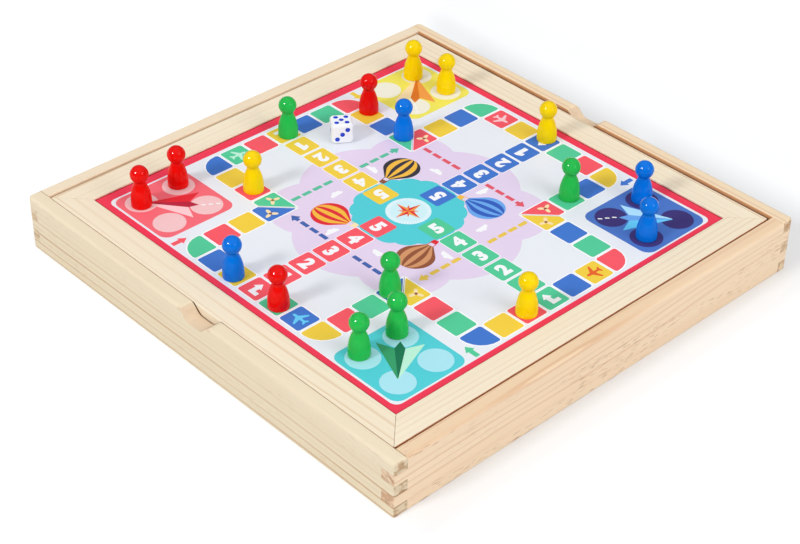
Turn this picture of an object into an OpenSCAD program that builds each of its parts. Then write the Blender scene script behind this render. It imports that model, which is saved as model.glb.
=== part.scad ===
// Wooden aeroplane chess box: a finger-jointed tray closed by a lift-off playing board,
// with eighteen turned pawns and one die standing on the board.
// The origin is at the middle of the underside, +Z is up and the thumb notches are on the X sides.

/* [Box] */
// Outer side of the square box
box_side = 303; // [260:1:360]
// Height of the box walls
box_h = 33.5; // [30:0.5:60]
// Thickness of the wall boards
wall_t = 8.7; // [6:0.1:10]
// Fingers in each corner joint
fingers = 5; // [3:2:9]
// Radius of the upright outer corners
corner_r = 4; // [1:0.1:6]
// Radius of the sharper upright corner at the front left
front_corner_r = 1.2; // [0.8:0.1:6]
// Radius of the rounded outer edges of the wall tops
ease_r = 2; // [0.4:0.1:3]
// Radius of the eased outer edges under the walls
foot_ease_r = 0.4; // [0.2:0.1:2]
// Radius of the eased edges inside the walls, on the ledges and on the rails
inner_ease_r = 0.6; // [0.3:0.1:0.7]

/* [Thumb notches] */
// Width of a thumb notch at its mouth
notch_w = 27; // [22:0.5:40]
// Depth of a thumb notch below the wall tops
notch_d = 6; // [4:0.5:7]
// Flat length at the bottom of a thumb notch
notch_flat = 8; // [4:0.5:16]

/* [Base and ledges] */
// Thickness of the plywood base
base_t = 3; // [2:0.1:4]
// Height of the base above the table
base_lift = 3; // [2:0.1:5]
// Depth of the base in the wall grooves
base_in = 3.5; // [2:0.1:4.5]
// Clearance between the base and its grooves
base_gap = 0.1; // [0.05:0.05:0.3]
// Width of the ledge strips under the board
ledge_w = 6; // [4:0.5:10]
// Height of the ledge strips
ledge_h = 8; // [5:0.5:12]

/* [Playing board] */
// Thickness of the rails round the board
board_t = 6; // [5.8:0.1:8]
// Drop of the board below the wall tops
board_drop = 1; // [0.5:0.1:3]
// Clearance between the centred board and the walls
board_gap = 1.2; // [0.5:0.1:2]
// Share of the clearance by which the board sits off centre, left to right
board_sit_x = -0.45; // [-0.9:0.05:0.9]
// Share of the clearance by which the board sits off centre, front to back
board_sit_y = 0.3; // [-0.9:0.05:0.9]
// Width of the mitred rails
rail_w = 17.2; // [12:0.1:24]
// Radius of the board's upright corners
board_corner_r = 1.5; // [0.8:0.1:3]
// Thickness of the rail lip over the printed sheet
lip_t = 1.1; // [0.8:0.1:1.3]
// Thickness of the board's panel
panel_t = 3; // [2:0.1:3.2]
// Thickness of the printed sheet on the panel
sheet_t = 0.3; // [0.2:0.05:0.5]
// Depth of the panel in the rail grooves
panel_in = 5; // [3:0.5:8]
// Clearance round the panel in the rail grooves
panel_gap = 0.1; // [0.05:0.05:0.3]

/* [Pawns] */
// Height of a pawn
pawn_h = 25.6; // [24:0.1:32]
// Diameter of a pawn's round head
head_d = 10.6; // [9:0.1:11]
// Diameter of a pawn's neck
neck_d = 6.7; // [4:0.1:7.5]
// Height of the top of the body, where the neck starts
shoulder_h = 14.5; // [13:0.1:15.5]
// Greatest diameter of a pawn's body
belly_d = 11.9; // [10:0.1:14]
// Height up to which the side of the body stands upright
belly_h = 2.8; // [2:0.1:7]
// Radius of the rounded edge under a pawn
foot_r = 0.5; // [0.3:0.1:1.2]

/* [Die] */
// Side of the die
die_side = 12.8; // [10:0.1:16]
// Radius of the die's rounded edges
die_edge_r = 1.6; // [0.8:0.1:2.2]
// Length rounded off each corner of the die, towards its middle
die_corner_cut = 1.6; // [1:0.1:2.4]
// Diameter of a pip
pip_d = 2.9; // [1.5:0.1:3]
// Depth of a pip
pip_depth = 0.5; // [0.2:0.1:0.8]
// Distance of the outer rows of pips from the middle of a face
pip_step = 3.05; // [2:0.05:3.4]
// Turn of the die on the board, in degrees
die_turn = -35; // [-90:1:90]

/* [Hidden] */
$fn = 48;
// How far a cut runs past the face that it opens
past = 1;

inner_side = box_side - 2 * wall_t;
// Radii of the upright corners, anticlockwise from the back right
corner_radii = [corner_r, corner_r, front_corner_r, corner_r];
// How far the rounding over a corner stays clear of the upright corner itself
corner_clear = 0.1;
finger_h = box_h / fingers;
base_side = inner_side + 2 * base_in;

board_side = inner_side - 2 * board_gap;
board_z = box_h - board_drop - board_t;
board_shift = [board_sit_x * board_gap, board_sit_y * board_gap];
opening_side = board_side - 2 * rail_w;
panel_side = opening_side + 2 * panel_in;
rail_groove_h = panel_t + sheet_t + panel_gap;
rail_groove_z = board_t - lip_t - rail_groove_h;
sheet_z = rail_groove_z + panel_t;
face_z = sheet_z + sheet_t;

// Steps of the printed track's grid across the face of the board
grid_steps = 14.45;
grid_step = opening_side / grid_steps;
// Where the pieces stand, in grid steps from the middle of the board
red_spots = [[-6.2, 6], [-4.6, 6.15], [3.2, 5.4], [-6.4, -1.15]];
yellow_spots = [[6, 6.1], [6.2, 4.6], [6.5, -0.05], [-2.95, 4.25], [-1.1, -6.4]];
blue_spots = [[2.95, 3.35], [6.1, -4.7], [4.6, -6.2], [-6.45, 0.95]];
green_spots = [[0.1, 6.1], [4.45, -3], [-3.45, -2.9], [-4.65, -4.5], [-6.15, -4.5]];
die_spot = [1.3, 4.7];

// The side of a pawn's body stands upright at the foot, and one arc leads on from there to the neck
neck_r = neck_d / 2;
belly_r = belly_d / 2;
head_r = head_d / 2;
head_z = pawn_h - head_r;
arc_r = (pow(shoulder_h - belly_h, 2) + pow(belly_r - neck_r, 2)) / (2 * (belly_r - neck_r));
arc_x = belly_r - arc_r;

// A pip is the cap of a ball, and a larger ball rounds off the die's corners
pip_ball_r = (pow(pip_d / 2, 2) + pow(pip_depth, 2)) / (2 * pip_depth);
corner_ball_r = die_side * sqrt(3) / 2 - die_corner_cut;

pine = [0.95, 0.89, 0.78];
pine_warm = [0.93, 0.82, 0.69];
plywood = [0.88, 0.78, 0.62];
print_pink = [0.95, 0.45, 0.52];
die_white = [0.95, 0.95, 0.96];
lacquer_red = [0.86, 0.05, 0.03];
lacquer_yellow = [0.96, 0.8, 0.03];
lacquer_blue = [0.05, 0.4, 0.82];
lacquer_green = [0.16, 0.7, 0.3];

function pawn_names(colour, spots) = [for (i = [1:len(spots)]) str(colour, "_pawn_", i)];

// A rectangle with round corners of radius r, from its lower left corner
module eased_rect(w, h, r) {
    translate([r, 0]) square([w - 2 * r, h]);
    translate([0, r]) square([w, h - 2 * r]);
    for (x = [r, w - r], y = [r, h - r]) translate([x, y]) circle(r);
}

// A square with round corners of radius r, about its own middle
module eased_square(side, r) {
    translate([-side / 2, -side / 2]) eased_rect(side, side, r);
}

// A prism along X, from a section that has its width along Y and its height along Z
module along_x(length) {
    rotate([90, 0, 90]) linear_extrude(length, center = true) children();
}

// The waste outside a quarter circle of radius r, about the circle's middle
module corner_waste(r) {
    difference() {
        square(r + past);
        circle(r);
    }
}

// Plan of the box, with its upright corners rounded
module box_plan() {
    difference() {
        square(box_side, center = true);
        for (i = [0:3]) rotate(90 * i) translate([1, 1] * (box_side / 2 - corner_radii[i]))
            corner_waste(corner_radii[i]);
    }
}

// Upright section of the box from -left to right, with rounded top edges and eased lower edges
module box_section(left, right) {
    difference() {
        translate([-left, 0]) square([left + right, box_h]);
        translate([right - ease_r, box_h - ease_r]) corner_waste(ease_r);
        translate([ease_r - left, box_h - ease_r]) rotate(90) corner_waste(ease_r);
        translate([right - foot_ease_r, foot_ease_r]) rotate(-90) corner_waste(foot_ease_r);
        translate([foot_ease_r - left, foot_ease_r]) rotate(180) corner_waste(foot_ease_r);
    }
}

// How far the box reaches along a diagonal to a corner of radius r
function corner_reach(r) = box_side / sqrt(2) - r * (sqrt(2) - 1) + corner_clear;
reaches = [for (r = corner_radii) corner_reach(r)];

// The whole box as one block, its edges rounded along the sides and over the corners
module box_block() {
    length = 2 * box_side;
    half = box_side / 2;
    intersection() {
        linear_extrude(box_h) box_plan();
        along_x(length) box_section(half, half);
        rotate(90) along_x(length) box_section(half, half);
        rotate(-45) along_x(length) box_section(reaches[2], reaches[0]);
        rotate(45) along_x(length) box_section(reaches[3], reaches[1]);
    }
}

// The front board of the box with its inner edges eased, running past the box at both ends and outside
module wall_board() {
    along_x(box_side + 2 * past)
        translate([-box_side / 2 - wall_t, 0]) eased_rect(2 * wall_t, box_h, inner_ease_r);
}

// The gaps at both ends of the front wall for its neighbours' fingers, on every second level from first
module finger_gaps(first) {
    for (level = [first:2:fingers - 1], end = [-box_side / 2 - past, box_side / 2 - wall_t]) {
        low = level == 0 ? -past : level * finger_h;
        high = level == fingers - 1 ? box_h + past : (level + 1) * finger_h;
        translate([end, -box_side / 2 - past, low]) cube([wall_t + past, wall_t + 2 * past, high - low]);
    }
}

// The groove for the base, all round the box
module base_groove() {
    side = base_side + 2 * base_gap;
    translate([-side / 2, -side / 2, base_lift]) cube([side, side, base_t + base_gap]);
}

// One side of a thumb notch: a smooth fall from the wall top to the flat, in even steps across
notch_steps = 12;
function notch_side(dir) = [for (i = [0:notch_steps])
    [dir * (notch_w - (notch_w - notch_flat) * i / notch_steps) / 2,
     -notch_d * (1 - cos(180 * i / notch_steps)) / 2]];
function reversed(list) = [for (i = [len(list) - 1:-1:0]) list[i]];

// The cut of a thumb notch, through the front wall
module notch_cut() {
    mouth = [[notch_w / 2, past], [-notch_w / 2, past]];
    translate([0, -box_side / 2 + wall_t + past, box_h]) rotate([90, 0, 0])
        linear_extrude(wall_t + 2 * past)
            polygon(concat(notch_side(-1), reversed(notch_side(1)), mouth));
}

// One wall, turned from the front place to its own
module wall(turn, first_gap) {
    rotate(turn) difference() {
        intersection() {
            rotate(-turn) box_block();
            wall_board();
        }
        finger_gaps(first_gap);
        base_groove();
    }
}

// One wall with a thumb notch
module notched_wall(turn, first_gap) {
    difference() {
        wall(turn, first_gap);
        rotate(turn) notch_cut();
    }
}

module front_wall() { color(pine_warm) wall(0, 0); }
module back_wall() { color(pine) wall(180, 0); }
module left_wall() { color(pine) notched_wall(-90, 1); }
module right_wall() { color(pine_warm) notched_wall(90, 1); }

module base_panel() {
    color(plywood) translate([-base_side / 2, -base_side / 2, base_lift])
        cube([base_side, base_side, base_t]);
}

// A ledge strip on the front wall, under the board
module ledge(length) {
    translate([0, -inner_side / 2, board_z - ledge_h]) along_x(length)
        eased_rect(ledge_w, ledge_h, inner_ease_r);
}

module front_ledge() { color(pine) ledge(inner_side); }
module back_ledge() { color(pine) rotate(180) ledge(inner_side); }
module left_ledge() { color(pine) rotate(-90) ledge(inner_side - 2 * ledge_w); }
module right_ledge() { color(pine) rotate(90) ledge(inner_side - 2 * ledge_w); }

// Section of a rail, from the outer edge of the board inwards, with the groove for the panel
module rail_section() {
    difference() {
        eased_rect(rail_w, board_t, inner_ease_r);
        translate([rail_w - panel_in - panel_gap, rail_groove_z])
            square([panel_in + panel_gap + past, rail_groove_h]);
    }
}

// One rail at the front of the board, mitred at both ends
module rail() {
    reach = board_side / 2 + past;
    intersection() {
        along_x(board_side + 2 * past) translate([-board_side / 2, 0]) rail_section();
        translate([0, 0, -past]) linear_extrude(board_t + 2 * past) intersection() {
            eased_square(board_side, board_corner_r);
            polygon([[-reach, -reach], [reach, -reach], [0, 0]]);
        }
    }
}

// Puts what is modelled about the board's own middle and underside where the board lies in the box
module on_board() {
    translate([board_shift[0], board_shift[1], board_z]) children();
}

module front_rail() { color(pine) on_board() rail(); }
module back_rail() { color(pine) on_board() rotate(180) rail(); }
module left_rail() { color(pine) on_board() rotate(-90) rail(); }
module right_rail() { color(pine) on_board() rotate(90) rail(); }

// A flat sheet of the panel's size, at height z of the board
module panel_sheet(z, thickness) {
    on_board() translate([-panel_side / 2, -panel_side / 2, z]) cube([panel_side, panel_side, thickness]);
}

module board_panel() { color(plywood) panel_sheet(rail_groove_z, panel_t); }
module printed_sheet() { color(print_pink) panel_sheet(sheet_z, sheet_t); }

// Puts a piece on the printed face, at a spot in grid steps
module on_face(spot) {
    on_board() translate([spot[0] * grid_step, spot[1] * grid_step, face_z]) children();
}

// Half section of a pawn, from its axis outwards
module pawn_section() {
    square([belly_r - foot_r, belly_h]);
    translate([0, foot_r]) square([belly_r, belly_h - foot_r]);
    translate([belly_r - foot_r, foot_r]) circle(foot_r);
    intersection() {
        translate([arc_x, belly_h]) circle(arc_r);
        translate([0, belly_h]) square([belly_d, shoulder_h - belly_h]);
    }
    square([neck_r, head_z]);
    intersection() {
        translate([0, head_z]) circle(head_r);
        translate([0, shoulder_h]) square([head_d, pawn_h]);
    }
}

module pawn(spot) {
    on_face(spot) rotate_extrude() pawn_section();
}

// The pips of a face with count pips, in rows of -1, 0 and 1
function pips(count) = concat(
    count % 2 == 1 ? [[0, 0]] : [],
    count > 1 ? [[-1, -1], [1, 1]] : [],
    count > 3 ? [[-1, 1], [1, -1]] : [],
    count == 6 ? [[-1, 0], [1, 0]] : []);
// Each face of the die: how it turns from the top, and its count of pips
die_faces = [
    [[0, 0, 0], 5], [[180, 0, 0], 2],
    [[90, 0, 0], 3], [[-90, 0, 0], 4],
    [[90, 0, -90], 1], [[90, 0, 90], 6]];

// The die's block, with round edges and corners
module die_block() {
    intersection() {
        intersection_for (turn = [[0, 0, 0], [90, 0, 0], [0, 90, 0]]) rotate(turn)
            linear_extrude(die_side, center = true) eased_square(die_side, die_edge_r);
        sphere(corner_ball_r);
    }
}

module die() {
    color(die_white) on_face(die_spot) translate([0, 0, die_side / 2]) rotate(die_turn) difference() {
        die_block();
        for (face = die_faces, pip = pips(face[1])) rotate(face[0])
            translate([pip[0] * pip_step, pip[1] * pip_step, die_side / 2 - pip_depth + pip_ball_r])
                sphere(pip_ball_r);
    }
}

front_wall();
back_wall();
left_wall();
right_wall();
base_panel();
front_ledge();
back_ledge();
left_ledge();
right_ledge();
front_rail();
back_rail();
left_rail();
right_rail();
board_panel();
printed_sheet();
for (i = [1:len(red_spots)])
    color(lacquer_red) pawn(red_spots[i - 1]);
for (i = [1:len(yellow_spots)])
    color(lacquer_yellow) pawn(yellow_spots[i - 1]);
for (i = [1:len(blue_spots)])
    color(lacquer_blue) pawn(blue_spots[i - 1]);
for (i = [1:len(green_spots)])
    color(lacquer_green) pawn(green_spots[i - 1]);
die();
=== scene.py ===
"""Looks of a boxed aeroplane chess board: pine box, framed print, turned pawns, die and studio."""

import logging
import math
from dataclasses import dataclass, field
from enum import Enum, IntEnum
from typing import Any

import bmesh
import bpy
from bpy.types import ID, Material, Mesh, Node, NodeSocket as Socket, NodeTree, Object, bpy_prop_collection
from mathutils import Matrix, Vector


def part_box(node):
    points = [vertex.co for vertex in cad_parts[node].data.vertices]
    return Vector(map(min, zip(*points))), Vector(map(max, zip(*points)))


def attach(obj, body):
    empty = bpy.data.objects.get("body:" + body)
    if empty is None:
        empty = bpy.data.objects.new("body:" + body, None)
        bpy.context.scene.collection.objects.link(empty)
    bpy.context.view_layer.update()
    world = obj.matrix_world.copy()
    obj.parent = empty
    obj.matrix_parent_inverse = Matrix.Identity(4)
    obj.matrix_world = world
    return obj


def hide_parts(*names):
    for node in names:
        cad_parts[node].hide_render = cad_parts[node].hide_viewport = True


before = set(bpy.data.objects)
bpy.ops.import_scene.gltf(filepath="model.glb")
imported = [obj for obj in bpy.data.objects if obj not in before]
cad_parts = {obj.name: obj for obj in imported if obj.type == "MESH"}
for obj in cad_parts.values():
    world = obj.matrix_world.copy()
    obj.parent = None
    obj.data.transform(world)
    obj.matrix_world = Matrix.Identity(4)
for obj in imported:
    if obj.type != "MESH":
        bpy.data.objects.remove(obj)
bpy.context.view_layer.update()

LOG = logging.getLogger("aeroplane_chess")
MM = 0.001
MERGED = 1e-7
QUARTER_TURN = -90.0
UPWARD = (0.5, 0.95)  # Rise of the normal from where a face counts as a top, and where it is one.

Point = tuple[float, float]
Triple = tuple[float, float, float]
Outline = list[Point]
Colour = tuple[float, float, float, float]


def srgb(red: int, green: int, blue: int) -> Colour:
    """Turns an 8-bit display colour into the linear colour that sockets take.

    Args:
        red: Red from 0 to 255.
        green: Green from 0 to 255.
        blue: Blue from 0 to 255.

    Returns:
        The linear colour with full alpha.
    """
    linear = []
    for value in (red, green, blue):
        level = value / 255.0
        linear.append(level / 12.92 if level <= 0.04045 else ((level + 0.055) / 1.055) ** 2.4)
    return (linear[0], linear[1], linear[2], 1.0)


def metres(span: Point) -> Point:
    """Turns two lengths in millimetres into metres."""
    return (span[0] * MM, span[1] * MM)


class Grain(Enum):
    """Which way the fibres of a board run: the turn in degrees that lays them along X."""

    ALONG_X = 0.0
    ALONG_Y = -90.0


class Seam(Enum):
    """Which glued joint shows on a board."""

    NONE = 0
    FINGERS = 1
    MITRE = 2


class Rubbed(Enum):
    """Where a board gets painted shade in the lid's gap, brown on the face that looks into it."""

    NOWHERE = 0
    INNER_FACE = 1
    OUTER_FACE = 2


class Layer(IntEnum):
    """Order of the printed inks, from the sheet up to the smallest marks."""

    SHEET = 0
    # Painted shade of the rails along the border's outer edge.
    OUTER_EDGE = 1
    BORDER = 2
    FIELD = 3
    GROUND = 4
    MEDALLION = 5
    EDGING = 6
    TILE = 7
    MARK = 8
    DETAIL = 9


class Ink(Enum):
    """Printing inks of the playing face."""

    SHEET_WHITE = srgb(244, 244, 246)
    BORDER_RED = srgb(241, 58, 86)
    # Painted shade: the darker red where the rails shade the border's outer edge.
    BORDER_DARK = srgb(186, 20, 48)
    FIELD_WHITE = srgb(233, 236, 242)
    EDGE_WHITE = srgb(250, 250, 252)
    LILAC = srgb(229, 211, 236)
    TURQUOISE = srgb(82, 206, 215)
    ICE = srgb(208, 240, 246)
    TILE_BLUE = srgb(66, 120, 207)
    TILE_GREEN = srgb(84, 204, 154)
    TILE_RED = srgb(250, 90, 102)
    TILE_YELLOW = srgb(243, 207, 66)
    DASH_BLUE = srgb(70, 103, 175)
    DASH_GREEN = srgb(92, 194, 160)
    DASH_RED = srgb(230, 90, 106)
    DASH_YELLOW = srgb(235, 199, 80)
    BASE_RED = srgb(246, 109, 121)
    BASE_YELLOW = srgb(241, 231, 94)
    BASE_BLUE = srgb(76, 119, 198)
    SPOT_PINK = srgb(244, 198, 200)
    SPOT_CREAM = srgb(240, 238, 220)
    SPOT_PLUM = srgb(66, 56, 122)
    SPOT_ICE = srgb(170, 228, 240)
    MARK_WHITE = srgb(247, 247, 249)
    ICON_MINT = srgb(190, 240, 216)
    ICON_PINK = srgb(255, 206, 210)
    ICON_ORANGE = srgb(232, 98, 44)
    ICON_SKY = srgb(104, 206, 250)
    STRONG_RED = srgb(226, 44, 56)
    STRONG_BLUE = srgb(52, 96, 190)
    GOLD = srgb(246, 188, 66)
    CREAM = srgb(252, 226, 176)
    COCOA = srgb(150, 88, 60)
    TAN = srgb(214, 150, 104)
    CHARCOAL = srgb(62, 58, 66)
    SKY = srgb(108, 168, 236)
    DEEP_RED = srgb(186, 40, 66)
    DEEP_ORANGE = srgb(224, 118, 40)
    ORANGE = srgb(244, 160, 74)
    LEAF = srgb(58, 158, 108)
    DEEP_LEAF = srgb(34, 118, 84)
    PALE_SKY = srgb(178, 226, 250)


class NodeSheet:
    """Adds nodes to one node tree and links them in short calls."""

    SOFT = {"interpolation_type": "SMOOTHSTEP"}

    def __init__(self, tree: NodeTree) -> None:
        """Keeps the tree that the nodes go in."""
        self.tree = tree

    def add(self, kind: str, **settings: Any) -> Node:
        """Adds one node.

        Args:
            kind: Blender's name of the node type.
            **settings: Properties of the node.

        Returns:
            The new node.
        """
        node = self.tree.nodes.new(kind)
        for key, value in settings.items():
            setattr(node, key, value)
        return node

    def feed(self, socket: Socket, value: Any) -> None:
        """Links a socket to an input, or sets the input's own value.

        Args:
            socket: The input to feed.
            value: Another node's output, or a constant.
        """
        if isinstance(value, Socket):
            self.tree.links.new(value, socket)
        else:
            socket.default_value = value

    def wired(self, kind: str, settings: dict[str, Any] | None = None, **values: Any) -> Node:
        """Adds one node and feeds its inputs.

        Args:
            kind: Blender's name of the node type.
            settings: Properties of the node.
            **values: Input names, with _ for a space, and what feeds each.

        Returns:
            The new node.
        """
        node = self.add(kind, **(settings or {}))
        for key, value in values.items():
            self.feed(node.inputs[key.replace("_", " ")], value)
        return node

    def math(self, operation: str, first: Any, second: Any = 0.0, third: Any = 0.0) -> Socket:
        """Adds a scalar operation.

        Args:
            operation: Blender's name of the operation.
            first: First operand.
            second: Second operand, where it has one.
            third: Third operand, where it has one.

        Returns:
            The result.
        """
        node = self.add("ShaderNodeMath", operation=operation)
        for socket, value in zip(node.inputs, (first, second, third)):
            self.feed(socket, value)
        return node.outputs[0]

    def times(self, first: Any, second: Any) -> Socket:
        """Multiplies two values."""
        return self.math("MULTIPLY", first, second)

    def minus(self, first: Any, second: Any) -> Socket:
        """Takes the second value from the first."""
        return self.math("SUBTRACT", first, second)

    def size(self, value: Any) -> Socket:
        """Drops a value's sign."""
        return self.math("ABSOLUTE", value)

    def scaled(self, value: Any, factor: Any, start: Any) -> Socket:
        """Multiplies a value and adds it to a start."""
        return self.math("MULTIPLY_ADD", value, factor, start)

    def between(self, share: Any, low: float, high: float) -> Socket:
        """Goes from one value to another as a share goes from 0 to 1."""
        return self.scaled(share, high - low, low)

    def split(self, vector: Any) -> bpy_prop_collection:
        """Gives a vector's parts, by the names X, Y and Z."""
        return self.wired("ShaderNodeSeparateXYZ", Vector=vector).outputs

    def noise(self, position: Any, scale: Triple, detail: float = 2.0) -> Socket:
        """Adds smooth noise, stretched by a scale for each axis.

        Args:
            position: Where it is read.
            scale: Cycles per metre for each axis.
            detail: Octaves of finer noise.

        Returns:
            The noise, about 0.5 on average.
        """
        stretch = self.add("ShaderNodeVectorMath", operation="MULTIPLY")
        self.feed(stretch.inputs[0], position)
        self.feed(stretch.inputs[1], scale)
        return self.wired("ShaderNodeTexNoise", Vector=stretch.outputs[0], Scale=1.0, Detail=detail).outputs[0]

    def fade(self, value: Any, low: Any, high: Any) -> Socket:
        """Rises smoothly from 0 at one value to 1 at another."""
        node = self.wired("ShaderNodeMapRange", self.SOFT, Value=value, From_Min=low, From_Max=high)
        return node.outputs["Result"]

    def mix(self, factor: Any, first: Any, second: Any, blend: str = "MIX") -> Socket:
        """Mixes two colours.

        Args:
            factor: How much of the second.
            first: First colour.
            second: Second colour.
            blend: How the second acts on the first.

        Returns:
            The mixed colour.
        """
        node = self.add("ShaderNodeMix", data_type="RGBA", blend_type=blend)
        self.feed(node.inputs[0], factor)
        self.feed(node.inputs[6], first)
        self.feed(node.inputs[7], second)
        return node.outputs[2]

    def swing(self, value: Any, amount: Any, about: float = 1.0) -> Socket:
        """Turns noise about 0.5 into a factor that swings by an amount about a middle value."""
        return self.scaled(self.minus(value, 0.5), amount, about)

    def group(self, tree: NodeTree, **values: Any) -> Node:
        """Places a node group and feeds its inputs."""
        return self.wired("ShaderNodeGroup", {"node_tree": tree}, **values)


class NodeGroup:
    """A node group under construction, with named sockets."""

    TREE = "ShaderNodeTree"
    KINDS = {
        "f": "NodeSocketFloat", "i": "NodeSocketInt", "v": "NodeSocketVector", "c": "NodeSocketColor",
        "g": "NodeSocketGeometry", "o": "NodeSocketObject", "m": "NodeSocketMaterial",
    }

    def __init__(self, name: str, inputs: dict[str, str], outputs: dict[str, str]) -> None:
        """Makes the tree and its sockets.

        Args:
            name: The group's name.
            inputs: Kind of each named input, one of KINDS.
            outputs: Kind of each named output, one of KINDS.
        """
        self.tree = bpy.data.node_groups.new(name, self.TREE)
        self.keys = {}
        for side, sockets in (("OUTPUT", outputs), ("INPUT", inputs)):
            for key, kind in sockets.items():
                socket = self.tree.interface.new_socket(key, in_out=side, socket_type=self.KINDS[kind])
                self.keys[key] = socket.identifier
        self.sheet = NodeSheet(self.tree)
        self.source = self.sheet.add("NodeGroupInput")
        self.sink = self.sheet.add("NodeGroupOutput")

    def get(self, key: str) -> Socket:
        """Gives one of the group's inputs."""
        return self.source.outputs[key]

    def put(self, key: str, value: Socket) -> None:
        """Feeds one of the group's outputs."""
        self.sheet.feed(self.sink.inputs[key], value)


class PineGrain(NodeGroup):
    """The pine effect: rings round a pith, fibres, resin flecks and end grain, with the fibres along X."""

    # Cycles per metre of each noise, along the fibres and across them.
    DRIFT_SCALE = (4.0, 18.0, 18.0)
    CALM_SCALE = (3.0, 45.0, 45.0)
    FIBRE_SCALE = (22.0, 1900.0, 1900.0)
    BROAD_SCALE = (7.0, 80.0, 80.0)
    DASH_SCALE = (125.0, 1900.0, 1900.0)
    PATCH_SCALE = (13.0, 70.0, 70.0)
    PORE_SCALE = (900.0, 900.0, 900.0)
    BLOTCH_SCALE = (150.0, 210.0, 300.0)
    UNEVEN_SCALE = 130.0

    # Where each mask starts, and where it is full.
    RISE = (0.52, 0.9)
    FALL = (1.0, 0.93)
    CALM = (0.34, 0.62)
    DRAWN = (0.004, -0.004)
    DASH = (0.59, 0.7)
    PATCH = (0.4, 0.62)
    CUT = (0.35, 0.9)
    PORES = (0.3, 0.8)
    BLOTCH = (0.42, 0.6)

    # How strong each effect is.
    UNEVEN_REACH = 1.1
    CHANCE_SWING = 0.9
    CHANCE_MIDDLE = 0.6
    CALM_LEAST = 0.3
    PLAIN_LEAST = 0.15
    FIBRE_SHARE = 0.3
    BROAD_SWINGS = (0.06, 0.13, 0.20)
    SANDED_FLECK = 0.35
    BLOTCH_SHARE = 0.7
    END_RING_SHARE = 0.75
    CUT_SHARE = 0.92
    SMOOTHEST = 0.46
    FIBRE_ROUGH = 0.16
    CUT_ROUGH = 0.12

    RESIN_BROWN = srgb(168, 116, 76)
    END_RING_BROWN = srgb(146, 106, 72)

    def __init__(self) -> None:
        """Opens the group and splits the place and the normal that its steps share."""
        super().__init__(
            "Pine grain",
            {"Position": "v", "Normal": "v", "Early": "c", "Late": "c", "End": "c", "Ring Width": "f",
             "Pith Y": "f", "Pith Z": "f", "Waver": "f", "Lines": "f", "Plain From": "f", "Fleck": "f"},
            {"Color": "c", "Roughness": "f", "Height": "f"},
        )
        self.position = self.get("Position")
        self.place = self.sheet.split(self.position)
        self.facing = self.sheet.split(self.get("Normal"))

    def build(self) -> NodeTree:
        """Draws the rings, then lays the fibres, the flecks and the end grain over them.

        Returns:
            The group's tree.
        """
        sheet = self.sheet
        line = self._late_wood()
        fibre = sheet.noise(self.position, self.FIBRE_SCALE, 3.0)
        fleck = self._flecks()
        cut = sheet.fade(sheet.size(self.facing["X"]), *self.CUT)
        colour = sheet.mix(fleck, self._face_colour(line, fibre), self.RESIN_BROWN)
        colour = sheet.mix(sheet.times(cut, self.CUT_SHARE), colour, self._end_colour(line))
        self.put("Color", colour)
        rough = sheet.scaled(fibre, self.FIBRE_ROUGH, self.SMOOTHEST)
        self.put("Roughness", sheet.scaled(cut, self.CUT_ROUGH, rough))
        raised = sheet.scaled(line, 0.5, sheet.times(fibre, 0.5))
        self.put("Height", sheet.minus(raised, fleck))
        return self.tree

    def _ring_count(self) -> Socket:
        """Counts the rings from the pith, unevenly wide and wavering along the fibres.

        Returns:
            The count, with a fraction.
        """
        sheet = self.sheet
        drifting = sheet.noise(self.position, self.DRIFT_SCALE, 1.5).node
        slow = sheet.wired("ShaderNodeSeparateColor", Color=drifting.outputs["Color"])
        offsets = []
        for axis, drift in (("Y", "Red"), ("Z", "Green")):
            centred = sheet.minus(slow.outputs[drift], 0.5)
            wandered = sheet.scaled(centred, self.get("Waver"), self.place[axis])
            offsets.append(sheet.minus(wandered, self.get(f"Pith {axis}")))
        squares = sheet.times(offsets[0], offsets[0])
        radius = sheet.math("SQRT", sheet.scaled(offsets[1], offsets[1], squares))
        along = sheet.times(radius, self.UNEVEN_SCALE)
        uneven = sheet.wired("ShaderNodeTexNoise", {"noise_dimensions": "1D"}, W=along, Scale=1.0, Detail=1.0)
        rings = sheet.math("DIVIDE", radius, self.get("Ring Width"))
        return sheet.scaled(uneven.outputs[0], self.UNEVEN_REACH, rings)

    def _late_wood(self) -> Socket:
        """The darker end of each ring, fainter by chance, in calm stretches and in the plain part.

        Returns:
            The mask.
        """
        sheet = self.sheet
        rings = self._ring_count()
        whole = sheet.math("FLOOR", rings)
        chance = sheet.wired("ShaderNodeTexWhiteNoise", {"noise_dimensions": "1D"}, W=whole)
        phase = sheet.math("FRACT", rings)
        line = sheet.times(sheet.fade(phase, *self.RISE), sheet.fade(phase, *self.FALL))
        strong = sheet.swing(chance.outputs["Value"], self.CHANCE_SWING, self.CHANCE_MIDDLE)
        line = sheet.times(line, strong)
        calm = sheet.fade(sheet.noise(self.position, self.CALM_SCALE, 1.0), *self.CALM)
        line = sheet.times(line, sheet.between(calm, self.CALM_LEAST, 1.0))
        line = sheet.times(line, self.get("Lines"))
        drawn = sheet.fade(sheet.minus(self.place["Z"], self.get("Plain From")), *self.DRAWN)
        return sheet.times(line, sheet.between(drawn, self.PLAIN_LEAST, 1.0))

    def _face_colour(self, line: Socket, fibre: Socket) -> Socket:
        """Early and late wood with fine fibres, in broad paler and warmer stretches.

        Args:
            line: Mask of the late wood.
            fibre: Noise of the fibres.

        Returns:
            The colour.
        """
        sheet = self.sheet
        fine = sheet.scaled(sheet.minus(fibre, 0.5), self.FIBRE_SHARE, line)
        colour = sheet.mix(fine, self.get("Early"), self.get("Late"))
        broad = sheet.noise(self.position, self.BROAD_SCALE)
        shade = sheet.add("ShaderNodeCombineColor")
        for socket, amount in zip(shade.inputs, self.BROAD_SWINGS):
            sheet.feed(socket, sheet.swing(broad, amount))
        return sheet.mix(1.0, colour, shade.outputs[0], "MULTIPLY")

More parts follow.
